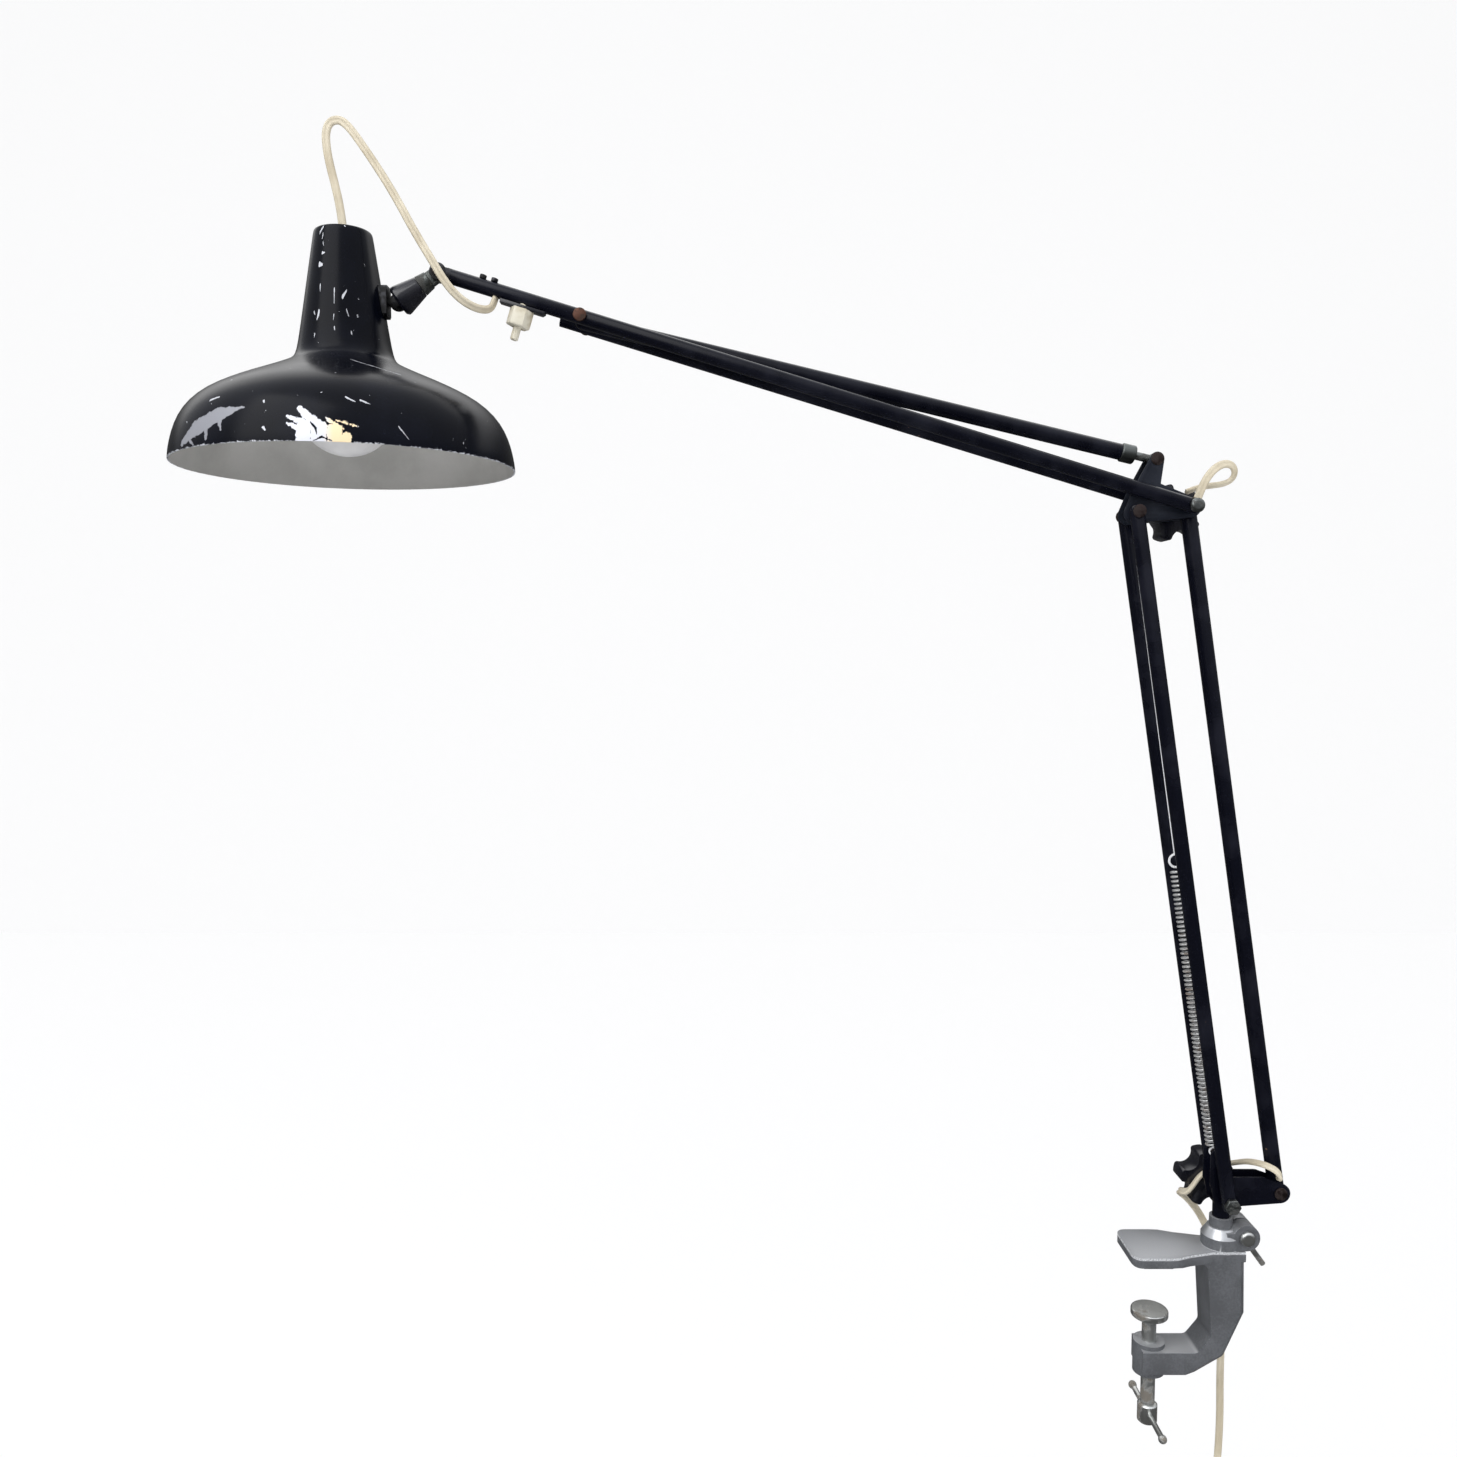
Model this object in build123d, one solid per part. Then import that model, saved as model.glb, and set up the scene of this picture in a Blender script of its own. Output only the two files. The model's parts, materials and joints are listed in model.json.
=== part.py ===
from build123d import *
import os
from math import atan2, cos, degrees, radians, sin, tan

# Clamp-on architect's desk lamp, in millimetres, +Z up.
# The origin is under the middle of the upper jaw's pad, on the desk top. The arms reach towards -X,
# and the lamp's near side, with the bolt heads, faces -Y.
# Lower arm, rear link, base bracket and elbow bracket are one parallelogram, so the elbow never tilts.

os.makedirs("parts", exist_ok=True)

# ---- Stance: where the pivots are
post_x = 49.7
pivot_z = 46.2
lower_arm_length = 488.7
lower_arm_lean = 8.85
upper_arm_length = 534.0
upper_arm_rise = 16.87
link_run, link_rise = 38.9, 3.9
strut_reach = 435.0
finger_back, finger_up = 23.8, 32.8
spring_back, spring_up = 6.5, 31.2

# ---- Tubes, sheet and fasteners
tube_radius, tube_wall = 5.0, 1.0
link_radius, link_wall = 5.5, 1.0
tube_tail = 2.5            # from a pivot to the middle of the tube's round end
sheet = 1.5
bracket_half = 7.3         # half the width over the cheeks
side_gap = 0.6             # between a cheek and the tube beside it
tube_y = bracket_half + side_gap + tube_radius
bolt_radius = 3.0
rivet_radius = 2.5
rivet_head, flush_head = 1.6, 0.3
sleeve_radius = 4.2
spring_pin_radius = 1.5
running = 0.05             # radial clearance of a pin in a piece that turns on it
cheek_gap = 0.3            # between a cheek and what turns inside it
head_height = 3.2

# ---- Knobs
knob_radius, knob_valley, knob_lobes = 20.0, 13.3, 5
knob_thick, knob_hub_radius = 18.5, 4.6
knob_gap = 0.3
knob_hub_length = 6.4

# ---- Clamp
jaw_length_front = 19.0    # from the origin to the tip
jaw_half_width, spine_half_width = 22.0, 13.0
jaw_top = 10.0
pad_half_x, pad_half_y, pad_drop = 14.0, 17.0, 2.2
spine_inner_x, spine_outer_x = 36.5, 63.0
boss_radius, boss_top = 13.5, 24.0
collar_radius, collar_top = 8.0, 31.0
post_radius = 6.0
post_bottom = -14.0
slit = 2.0
lug_radius = 9.3
lug_x, lug_z, lug_half = 63.8, 19.6, 12.0
pinch_radius = 4.0
bar_radius, pinch_bar_length, pinch_bar_reach, pinch_bar_angle = 2.0, 52.0, 41.5, -53.6
pinch_nut_radius, pinch_nut_length, pinch_bar_y = 6.0, 12.0, 17.2
throat_bottom = -64.0
screw_boss_radius, screw_boss_bottom = 11.0, -84.0
screw_radius = 5.0
swivel_pad_radius, swivel_pad_thick, swivel_pad_top = 13.0, 5.0, -38.0
screw_bottom = -122.0
tommy_z, tommy_length = -115.0, 64.0

# ---- Strut
ferrule_reach, ferrule_length = 14.2, 9.7   # reach leaves room for the strut to shorten
ferrule_seat, ferrule_radius, ferrule_bore = 4.0, 6.4, 4.0
strut_rod_length, strut_rod_radius = 110.0, 2.8
rod_head_length, rod_head_radius = 6.0, 3.3
rod_eye_radius, rod_eye_half = 4.6, 5.2
strut_spring_radius, strut_spring_wall, strut_spring_gap = 3.7, 1.0, 12.0

# ---- Head
fork_gap, fork_radius = 4.4, 5.6
fork_screw_reaches = (29.0, 37.0)
fork_screw_radius, fork_screw_head = 1.3, 2.3
fork_cheek = tube_radius - fork_gap / 2
knuckle_angle = 215.1      # from the knuckle pin to the ball, seen from the near side
knuckle_length = 33.7
knuckle_small, knuckle_mid, knuckle_large = 6.0, 7.0, 10.4
knuckle_split = 19.5       # where the grey knuckle ends and the black socket begins
ball_radius = 6.0
stud_radius, stud_nut_size, stud_nut_thick = 2.5, 4.6, 3.4
shade_gap = 36.3           # from the ball to the shade's axis
rim_drop = 109.8           # from the ball to the shade's rim
shade_wall = 1.0
shade_rim_radius = 112.0
neck_foot_height, neck_foot_radius = 77.5, 30.8
shade_height, neck_top_radius = 156.7, 19.0
bowl_curve = [(0.0, 0.0), (0.7, 7.0), (3.6, 20.0), (10.5, 34.0), (24.0, 45.5), (45.0, 55.5)]
bowl_shoulder, bowl_top = 11.0, 66.0
holder_radius, holder_bottom, holder_top = 18.0, 92.0, 139.0
nipple_radius, nipple_bore, nipple_sink = 5.0, 3.4, 8.0
bulb_radius, bulb_clear = 33.0, 7.5
bulb_cap_radius, bulb_cap_length = 13.2, 25.0
bulb_total = 117.0
bulb_wall = 1.0

# ---- Switch
switch_setback = 60.3      # from the arm's front end back to the switch
switch_flats, switch_height, switch_bush = 14.4, 12.0, 3.4
saddle_length, saddle_width, saddle_drop, saddle_sink = 31.0, 7.0, 2.1, 0.5
button_radius, button_length, button_sunk = 2.7, 9.0, 8.0
button_travel = 3.0

# ---- Springs
spring_radius, spring_wire, spring_turns = 5.0, 1.5, 62
spring_start, spring_length = 4.0, 203.0

# ---- Flex
flex_width = 5.6
cord_hole_radius, cord_hole_beyond = 3.2, 19.5
coil_centre = (66.0, 38.0, -238.0)
coil_radius, coil_bundle = 30.0, 9.0
tie_angle, tie_width, tie_thick = 50.0, 7.0, 1.2
plug_width, plug_height, plug_thick = 15.0, 24.0, 12.0
plug_pin_radius, plug_pin_length, plug_pin_spacing = 2.4, 14.0, 8.5


# ------------------------------------------------------------------ helpers
def flat(x, z, y=0.0):
    """A point given across the lamp and up."""
    return Vector(x, y, z)


def heading(angle):
    """The direction at an angle above +X, as the near side shows it."""
    return Vector(cos(radians(angle)), 0, sin(radians(angle)))


def rod(start, end, radius):
    """A solid cylinder from start to end."""
    along = end - start
    return Plane(origin=start, z_dir=along) * Cylinder(
        radius, along.length, align=(Align.CENTER, Align.CENTER, Align.MIN)
    )


def taper(start, end, radius_start, radius_end):
    """A cone's frustum from start to end."""
    along = end - start
    return Plane(origin=start, z_dir=along) * Cone(
        radius_start, radius_end, along.length, align=(Align.CENTER, Align.CENTER, Align.MIN)
    )


def across(centre, radius, y_from, y_to):
    """A cylinder along Y through a pivot."""
    return rod(Vector(centre.X, y_from, centre.Z), Vector(centre.X, y_to, centre.Z), radius)


def round_tube(start, end, radius, wall):
    """A tube with closed round ends, hollow between them."""
    along = (end - start).normalized()
    outside = rod(start, end, radius) + Pos(start) * Sphere(radius) + Pos(end) * Sphere(radius)
    return outside - rod(start + along * radius, end - along * radius, radius - wall)


def disc(centre, radius):
    """A circle in the side view, to be hulled and extruded across Y."""
    return Pos(centre.X, centre.Z) * Circle(radius)


def hull(*discs):
    """The outline stretched round a few discs."""
    together = discs[0]
    for one in discs[1:]:
        together += one
    return make_hull(together.edges())


def slab(profile, y_from, y_to):
    """A side-view profile, extruded from y_from to y_to."""
    placed = Plane(origin=(0, y_to, 0), x_dir=(1, 0, 0), z_dir=(0, -1, 0)) * profile
    return extrude(placed, amount=y_to - y_from)


def cheeks(profile):
    """The two side plates of a sheet bracket."""
    inner = bracket_half - sheet
    return slab(profile, -bracket_half, -inner) + slab(profile, inner, bracket_half)


# ------------------------------------------------------------------ where things are
lower_up = heading(90 + lower_arm_lean)
arm_out = heading(180 - upper_arm_rise)
arm_down = heading(270 - upper_arm_rise)
base_pivot = flat(post_x, pivot_z)
link_offset = flat(link_run, link_rise)
link_foot = base_pivot + link_offset
elbow_pivot = base_pivot + lower_up * lower_arm_length
arm_pivot = elbow_pivot + link_offset
strut_foot = arm_pivot + flat(-finger_back, finger_up)
strut_head = arm_pivot + arm_out * strut_reach
switch_reach = upper_arm_length - switch_setback
knuckle_pivot = arm_pivot + arm_out * upper_arm_length
near = Vector(0, -tube_y, 0)
knuckle_out = heading(knuckle_angle)
ball_centre = knuckle_pivot + knuckle_out * knuckle_length
shade_axis = Vector(ball_centre.X - shade_gap, -tube_y, 0)
rim_z = ball_centre.Z - rim_drop
spring_foot = base_pivot + flat(-spring_back, spring_up)
outer_face = tube_y + tube_radius


# ------------------------------------------------------------------ clamp
def clamp_frame():
    """One casting: upper jaw, spine, lower arm with its threaded boss, and the split boss of the post."""
    neck_x = spine_inner_x + 3.0
    jaw_plan = make_face(
        Polyline(
            (spine_outer_x, -spine_half_width), (neck_x, -spine_half_width), (22, -17.5), (12, -21.5),
            (6, -jaw_half_width), (-jaw_length_front, -jaw_half_width), (-jaw_length_front, jaw_half_width),
            (6, jaw_half_width), (12, 21.5), (22, 17.5), (neck_x, spine_half_width),
            (spine_outer_x, spine_half_width), (spine_outer_x, -spine_half_width),
        )
    )
    tip = jaw_plan.vertices().sort_by(Axis.X)[0:2]
    jaw_plan = fillet(tip, 7.0)
    jaw = extrude(jaw_plan, jaw_top - pad_drop)
    jaw = Pos(0, 0, pad_drop) * jaw
    jaw = chamfer(jaw.faces().sort_by(Axis.Z)[0].edges().filter_by(Axis.X), 1.2)
    pad = Box(2 * pad_half_x, 2 * pad_half_y, pad_drop, align=(Align.CENTER, Align.CENTER, Align.MIN))
    pad = chamfer(pad.edges().filter_by(Axis.Z), 4.0)

    low = screw_boss_bottom + 4.0
    side = make_face(
        Polyline(
            (spine_inner_x - 4, jaw_top), (spine_inner_x - 4, pad_drop), (spine_inner_x, pad_drop - 4),
            (spine_inner_x + 3.5, throat_bottom + 12), (spine_inner_x - 6, throat_bottom),
            (-8, throat_bottom), (-8, low), (30, low), (spine_outer_x - 13, low + 12),
            (spine_outer_x + 1, -36), (spine_outer_x, jaw_top), (spine_inner_x - 4, jaw_top),
        )
    )
    corners = [v for v in side.vertices() if v.Z < 0 or v.Y < 0]
    inside = [v for v in corners if abs(v.Y - throat_bottom) < 13 and v.X > 20]
    side = fillet(inside, 5.0)
    spine = slab(side, -spine_half_width, spine_half_width)
    back = [e for e in spine.edges().filter_by(GeomType.LINE) if e.center().X > spine_outer_x - 9
            and abs(e.center().Y) > spine_half_width - 0.1 and e.length > 15]
    spine = chamfer(back, 4.0)

    post_foot = flat(post_x, 0)
    boss = rod(post_foot + flat(0, pad_drop), post_foot + flat(0, boss_top - 6), boss_radius)
    boss += taper(post_foot + flat(0, boss_top - 6), post_foot + flat(0, boss_top), boss_radius, collar_radius + 1.5)
    collar = rod(post_foot + flat(0, boss_top), post_foot + flat(0, collar_top), collar_radius)
    lugs = across(flat(lug_x, lug_z), lug_radius, -lug_half, lug_half)
    lugs += Pos((post_x + lug_x) / 2, 0, lug_z - 3) * Box(lug_x - post_x, 2 * lug_half, 2 * lug_radius - 6)
    nose = rod(flat(0, screw_boss_bottom), flat(0, throat_bottom + 3), screw_boss_radius)

    frame = jaw + pad + spine + boss + collar + lugs + nose
    frame -= rod(post_foot + flat(0, post_bottom - 1), post_foot + flat(0, collar_top + 1), post_radius + running)
    split_length = lug_x + lug_radius + 1 - post_x
    frame -= Pos(post_x + split_length / 2, 0, (collar_top + lug_z - lug_radius) / 2 + 1) * Box(
        split_length, slit, collar_top - lug_z + lug_radius + 3
    )
    frame -= across(flat(lug_x, lug_z), pinch_radius, -lug_half - 1, lug_half + 1)
    frame -= rod(flat(0, screw_boss_bottom - 1), flat(0, throat_bottom + 4), screw_radius + running)
    return frame


def pinch_bolt():
    """Carriage bolt that squeezes the split boss round the post."""
    place = flat(lug_x, lug_z)
    shank = across(place, pinch_radius, -lug_half, lug_half + pinch_nut_length + 2)
    dome = across(place, pinch_radius * 1.35, -lug_half - head_height, -lug_half)
    return shank + fillet(dome.edges().sort_by(Axis.Y)[0], 2.4)


def pinch_nut():
    """Round nut with a bar that slides through it, turned by hand."""
    place = flat(lug_x, lug_z)
    body = across(place, pinch_nut_radius, lug_half + knob_gap, lug_half + pinch_nut_length)
    body -= across(place, pinch_radius + running, lug_half, lug_half + pinch_nut_length + 1)
    lean = heading(pinch_bar_angle)
    start = Vector(lug_x, pinch_bar_y, lug_z) + lean * (pinch_bar_reach - pinch_bar_length)
    end = Vector(lug_x, pinch_bar_y, lug_z) + lean * pinch_bar_reach
    hole = across(place, pinch_radius + running, lug_half, lug_half + pinch_nut_length + 1)
    return body + (rod(start, end, bar_radius) - hole)


def clamp_screw():
    """Screw of the lower jaw, with its cross hole."""
    screw = rod(flat(0, screw_bottom), flat(0, swivel_pad_top - swivel_pad_thick + 2), screw_radius)
    head = rod(flat(0, screw_bottom), flat(0, screw_bottom + 14), screw_radius + 2)
    screw += chamfer(head.edges().filter_by(GeomType.CIRCLE), 1.0)
    return screw - rod(Vector(0, -10, tommy_z), Vector(0, 10, tommy_z), bar_radius)


def tommy_bar():
    """Bar through the screw's head, with a bead on each end."""
    half = tommy_length / 2
    bar = rod(Vector(0, -half, tommy_z), Vector(0, half, tommy_z), bar_radius)
    for end in (-half, half):
        bar += Pos(0, end, tommy_z) * Sphere(bar_radius * 1.5)
    return bar


def swivel_pad():
    """Disc on the screw's end that meets the underside of the desk."""
    top = flat(0, swivel_pad_top)
    pad = rod(flat(0, swivel_pad_top - swivel_pad_thick), top, swivel_pad_radius)
    pad = fillet(pad.edges().filter_by(GeomType.CIRCLE), 1.2)
    return pad - rod(flat(0, swivel_pad_top - swivel_pad_thick - 1), flat(0, swivel_pad_top - swivel_pad_thick + 2.3), screw_radius + running)


# ------------------------------------------------------------------ base
def base_profile():
    """Side view of the base bracket: a channel to the rear link and a finger up to the spring."""
    foot = flat(post_x - 2.2, pivot_z)
    head = flat(post_x - 1.7, pivot_z + 7.8)
    shoulder = flat(post_x + 25.3, pivot_z + 9.8)
    return hull(disc(foot, 6.2), disc(head, 8.0), disc(shoulder, 6.0), disc(link_foot, 7.0))


def base_bracket():
    """Sheet-steel channel, open at the top, with a web along its lower edge."""
    channel = base_profile()
    finger = hull(disc(spring_foot, 4.5), disc(flat(post_x - 4.2, pivot_z + 11.8), 7.0))
    plates = cheeks(channel + finger)
    web_from, web_to = post_x - 7.5, link_foot.X - link_radius - 2.5
    below = channel - Pos(0, sheet) * channel
    window = Pos((web_from + web_to) / 2, pivot_z - 2) * Rectangle(web_to - web_from, 18)
    web = slab(below & window, -bracket_half, bracket_half)
    bracket = plates + web
    for centre, radius in ((base_pivot, bolt_radius), (link_foot, rivet_radius)):
        bracket -= across(centre, radius + running, -20, 20)
    return bracket - across(spring_foot, spring_pin_radius, -20, 20)


def base_post():
    """Round post welded under the channel, turning in the clamp's boss."""
    post = rod(flat(post_x, post_bottom), flat(post_x, pivot_z), post_radius)
    return post - slab(base_profile(), -20, 20)


# ------------------------------------------------------------------ lower arm
def lower_tube(side):
    """One of the lower arm's two tubes; side is -1 for the near one."""
    aside = Vector(0, side * tube_y, 0)
    tube = round_tube(base_pivot - lower_up * tube_tail + aside, elbow_pivot + aside, tube_radius, tube_wall)
    tube -= across(base_pivot, bolt_radius, -40, 40)
    return tube - across(elbow_pivot, rivet_radius, -40, 40)


def domed_pin(centre, radius, head_radius, y_head, y_end):
    """Shank along Y with a domed head on its near end."""
    shank = across(centre, radius, y_head, y_end)
    head = across(centre, head_radius, y_head - head_height, y_head)
    return shank + fillet(head.edges().sort_by(Axis.Y)[0], head_height * 0.8)


def rivet(centre, reach, head=rivet_head):
    """Rivet along Y with a low head at each end."""
    body = across(centre, rivet_radius, -reach, reach)
    wide = rivet_radius * 1.8
    return body + across(centre, wide, -reach - head, -reach) + across(centre, wide, reach, reach + head)


def lower_pivot_bolt():
    """Hexagon-headed bolt of the lower arm; its far end carries the knob."""
    bolt = across(base_pivot, bolt_radius, -outer_face, outer_face + knob_hub_length + knob_thick * 0.6)
    hexagon = Pos(base_pivot.X, base_pivot.Z) * RegularPolygon(5.6, 6)
    return bolt + slab(hexagon, -outer_face - 4.0, -outer_face)


def upper_pivot_bolt():
    """Dome-headed bolt of the upper arm; its far end carries the second knob."""
    return domed_pin(arm_pivot, bolt_radius, 5.0, -outer_face, outer_face + knob_hub_length + knob_thick * 0.6)


def star_knob(centre, phase):
    """Five-lobed moulded knob with a hub towards the tube, threaded on a pivot bolt."""
    scallop = 8.2
    cut = knob_valley + scallop
    star = Circle(knob_radius)
    for n in range(knob_lobes):
        angle = radians(phase + 180 / knob_lobes + n * 360 / knob_lobes)
        star -= Pos(cut * cos(angle), cut * sin(angle)) * Circle(scallop)
    star = fillet(star.vertices(), 2.2)
    inner = outer_face + knob_gap + knob_hub_length
    body = slab(Pos(centre.X, centre.Z) * star, inner, inner + knob_thick)
    body = chamfer(body.faces().sort_by(Axis.Y)[-1].edges(), 2.0)
    body += across(centre, knob_hub_radius, outer_face + knob_gap, inner)
    return body - across(centre, bolt_radius + running, outer_face, inner + knob_thick * 0.65)


def coil_sleeve(start, along, length, turns, radius, wire):
    """A close-wound spring as one turned body, with a groove between its turns."""
    pitch = length / turns
    points = []
    for n in range(turns):
        points += [(radius - wire * 0.55, n * pitch), (radius, (n + 0.5) * pitch)]
    points.append((radius - wire * 0.55, length))
    outline = make_face(Polyline((radius - wire, 0), *points, (radius - wire, length), (radius - wire, 0)))
    body = revolve(Plane.XZ * outline, Axis.Z)
    return Plane(origin=start, z_dir=along) * body


def balance_spring():
    """Tension spring that balances the lower arm, hooked on the base bracket's finger."""
    along = (elbow_pivot - spring_foot).normalized()
    start = spring_foot + along * spring_start
    return coil_sleeve(start, along, spring_length, spring_turns, spring_radius, spring_wire)


def spring_wire_up():
    """Wire from the spring's top ring to the elbow rivet."""
    along = (elbow_pivot - spring_foot).normalized()
    top = spring_foot + along * (spring_start + spring_length)
    ring = Plane(origin=top + along * 6.0, z_dir=(0, 1, 0)) * Torus(4.6, 0.8)
    wire = rod(top + along * 10.4, elbow_pivot - along * (rivet_radius + 0.2), 0.8)
    return ring + wire


# ------------------------------------------------------------------ rear link and elbow
def rear_link():
    """Single tube between the cheeks of both brackets."""
    along = (arm_pivot - link_foot).normalized()
    tube = round_tube(link_foot, arm_pivot, link_radius, link_wall)
    tube -= across(link_foot, rivet_radius + running, -9, 9)
    return tube - across(arm_pivot, bolt_radius + running, -9, 9)


def elbow_bracket():
    """Sheet-steel bracket: plate from the elbow rivet to the arm's pivot, and a finger up to the strut."""
    plate = hull(disc(elbow_pivot, 7.0), disc(arm_pivot, 7.0))
    waist = (elbow_pivot + arm_pivot) * 0.5 + flat(-11.5, 12.0)
    finger = hull(disc(strut_foot, 4.8), disc(waist, 9.0))
    root = hull(disc(waist, 9.0), disc(elbow_pivot, 7.0), disc(arm_pivot, 7.0))
    plates = cheeks(finger + root)
    below = plate - Pos(0, sheet) * plate
    web_from, web_to = elbow_pivot.X + 9.5, arm_pivot.X - 12.0
    window = Pos((web_from + web_to) / 2, elbow_pivot.Z - 4) * Rectangle(web_to - web_from, 10)
    bracket = plates + slab(below & window, -bracket_half, bracket_half)
    bracket -= across(elbow_pivot, rivet_radius + running, -20, 20)
    bracket -= across(arm_pivot, bolt_radius + running, -20, 20)
    return bracket - across(strut_foot, rivet_radius, -20, 20)


# ------------------------------------------------------------------ upper arm and strut
def upper_tube_near():
    """Long tube that carries the head and hides the flex."""
    end = arm_pivot + near + arm_out * (upper_arm_length - fork_radius - 3.0)
    start = arm_pivot + near
    outside = rod(start, end, tube_radius) + Pos(start) * Sphere(tube_radius)
    tube = outside - rod(start + arm_out * tube_radius, end + arm_out, tube_radius - tube_wall)
    tube -= across(arm_pivot, bolt_radius, -40, 40)
    tube -= across(strut_head, rivet_radius, -40, 40)
    hole = arm_pivot + near + arm_out * (switch_reach + cord_hole_beyond)
    tube -= rod(hole, hole + arm_down * 9, cord_hole_radius)
    seat = arm_pivot + near + arm_out * switch_reach
    tube -= rod(seat, seat + arm_down * 9, switch_bush)
    for reach in fork_screw_reaches:
        top = arm_pivot + near + arm_out * (upper_arm_length - reach)
        tube -= rod(top, top - arm_down * 9, fork_screw_radius)
        tube -= rod(top - arm_down * 4.9, top - arm_down * 9, fork_screw_head)
    return tube


def upper_tube_far():
    """Short tube that ends just past the strut's rivet, with a slanted cut."""
    far = Vector(0, tube_y, 0)
    start, end = arm_pivot + far, strut_head + far + arm_out * 17
    outside = rod(start, end, tube_radius) + Pos(start) * Sphere(tube_radius)
    tube = outside - rod(start + arm_out * tube_radius, end + arm_out, tube_radius - tube_wall)
    tube -= across(arm_pivot, bolt_radius, -40, 40)
    return tube - across(strut_head, rivet_radius, -40, 40)


def strut_tube():
    """Tube of the strut: a round eye at its front end, open at its rear end."""
    along = (strut_foot - strut_head).normalized()
    mouth = strut_foot - along * (ferrule_reach + ferrule_seat)
    outside = rod(strut_head, mouth, link_radius) + Pos(strut_head) * Sphere(link_radius)
    tube = outside - rod(strut_head + along * link_radius, mouth + along, link_radius - link_wall)
    return tube - across(strut_head, rivet_radius + running, -9, 9)


def strut_ferrule():
    """Grey turned ferrule on the strut tube's mouth."""
    along = (strut_foot - strut_head).normalized()
    end = strut_foot - along * ferrule_reach
    body = rod(end - along * ferrule_length, end, ferrule_radius)
    body = chamfer(body.edges().filter_by(GeomType.CIRCLE), 0.7)
    body -= rod(end - along * (ferrule_length + 1), end - along * ferrule_seat, link_radius)
    return body - rod(end - along * (ferrule_seat + 1), end + along, ferrule_bore)


def strut_rod():
    """Rod with an eye on the elbow bracket's finger; it slides in the strut tube."""
    along = (strut_head - strut_foot).normalized()
    end = strut_foot + along * strut_rod_length
    body = rod(strut_foot + along * (rod_eye_radius - 1.1), end, strut_rod_radius)
    body += rod(end - along * rod_head_length, end, rod_head_radius)
    body += across(strut_foot, rod_eye_radius, -rod_eye_half, rod_eye_half)
    return body - across(strut_foot, rivet_radius + running, -bracket_half, bracket_half)


def strut_spring():
    """Tension spring inside the strut tube, from the rod's end to the front rivet."""
    along = (strut_head - strut_foot).normalized()
    start, end = strut_foot + along * strut_rod_length, strut_head - along * strut_spring_gap
    inner_radius = strut_spring_radius - strut_spring_wall
    return rod(start, end, strut_spring_radius) - rod(start - along, end + along, inner_radius)


# ------------------------------------------------------------------ head
def arm_fork():
    """Turned plug in the near tube's end, with two cheeks for the knuckle."""
    pivot = knuckle_pivot + near
    tube_end = pivot - arm_out * (fork_radius + 3.0)
    plug = rod(tube_end - arm_out * 30, tube_end, tube_radius - tube_wall)
    plug += rod(tube_end, pivot - arm_out * 1.0, tube_radius)
    plug += across(pivot, fork_radius, -tube_y - fork_gap / 2 - fork_cheek, -tube_y + fork_gap / 2 + fork_cheek)
    slot = hull(disc(pivot, fork_radius + 1.2), disc(pivot + arm_out * 14, fork_radius + 1.2))
    plug -= slab(slot, -tube_y - fork_gap / 2, -tube_y + fork_gap / 2)
    plug -= across(pivot, 2.0, -30, 5)
    for reach in fork_screw_reaches:
        seat = pivot - arm_out * reach
        plug -= rod(seat, seat - arm_down * 9, fork_screw_radius)
    return plug


def fork_screws():
    """Two small screws through the tube's top into the fork's plug."""
    pivot = knuckle_pivot + near
    screws = []
    for reach in fork_screw_reaches:
        seat = pivot - arm_out * reach
        screw = rod(seat - arm_down * 0.5, seat - arm_down * 5.0, fork_screw_radius)
        screw += rod(seat - arm_down * 4.9, seat - arm_down * 7.6, fork_screw_head)
        screws.append(screw)
    return Compound(children=screws)


def knuckle_pin():
    """Pin of the knuckle, with a low head on each side."""
    pivot = knuckle_pivot + near
    reach = fork_gap / 2 + fork_cheek
    pin = across(pivot, 2.0, -tube_y - reach, -tube_y + reach)
    pin += across(pivot, 3.4, -tube_y - reach - 1.4, -tube_y - reach)
    return pin + across(pivot, 3.4, -tube_y + reach, -tube_y + reach + 1.4)


def knuckle():
    """Grey knuckle: a flat eye in the fork, a tapered body, and a spigot for the socket."""
    pivot = knuckle_pivot + near
    neck = pivot + knuckle_out * 8.0
    split = pivot + knuckle_out * (knuckle_length - knuckle_split + 1)
    tongue = hull(disc(pivot, fork_radius - 0.6), disc(neck, fork_radius - 0.6))
    thick = fork_gap / 2 - cheek_gap / 2
    body = slab(tongue, -tube_y - thick, -tube_y + thick)
    body += taper(neck, split, knuckle_small, knuckle_mid)
    body += rod(split - knuckle_out, split + knuckle_out * 4, 3.0)
    return body - across(pivot, 2.0 + running, -30, 5)


def ball_socket():
    """Black socket that turns on the knuckle and holds the ball."""
    pivot = knuckle_pivot + near
    ball = pivot + knuckle_out * knuckle_length
    split = pivot + knuckle_out * (knuckle_length - knuckle_split + 1 + cheek_gap)
    belly = ball - knuckle_out * 3.0
    body = taper(split, belly, knuckle_mid, knuckle_large) + rod(belly, ball, knuckle_large)
    body = chamfer(body.edges().filter_by(GeomType.CIRCLE).sort_by(Axis.X)[0], 1.5)
    body -= Pos(ball) * Sphere(ball_radius + running)
    return body - rod(split - knuckle_out, split + knuckle_out * 5, 3.0 + running)


def neck_radius_at(height):
    """The shade neck's outer radius at a height above the rim."""
    share = (height - neck_foot_height) / (shade_height - neck_foot_height)
    return neck_foot_radius + share * (neck_top_radius - neck_foot_radius)


def shade_profile(inset):
    """Outer outline of the spun shade, as radius and height above the rim, moved in by a wall."""
    points = [(shade_rim_radius - drawn_in, height) for drawn_in, height in bowl_curve]
    points.append((neck_foot_radius + bowl_shoulder, bowl_top))
    return [(r - inset, h - (inset if h > 5 else 0)) for r, h in points]


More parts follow.
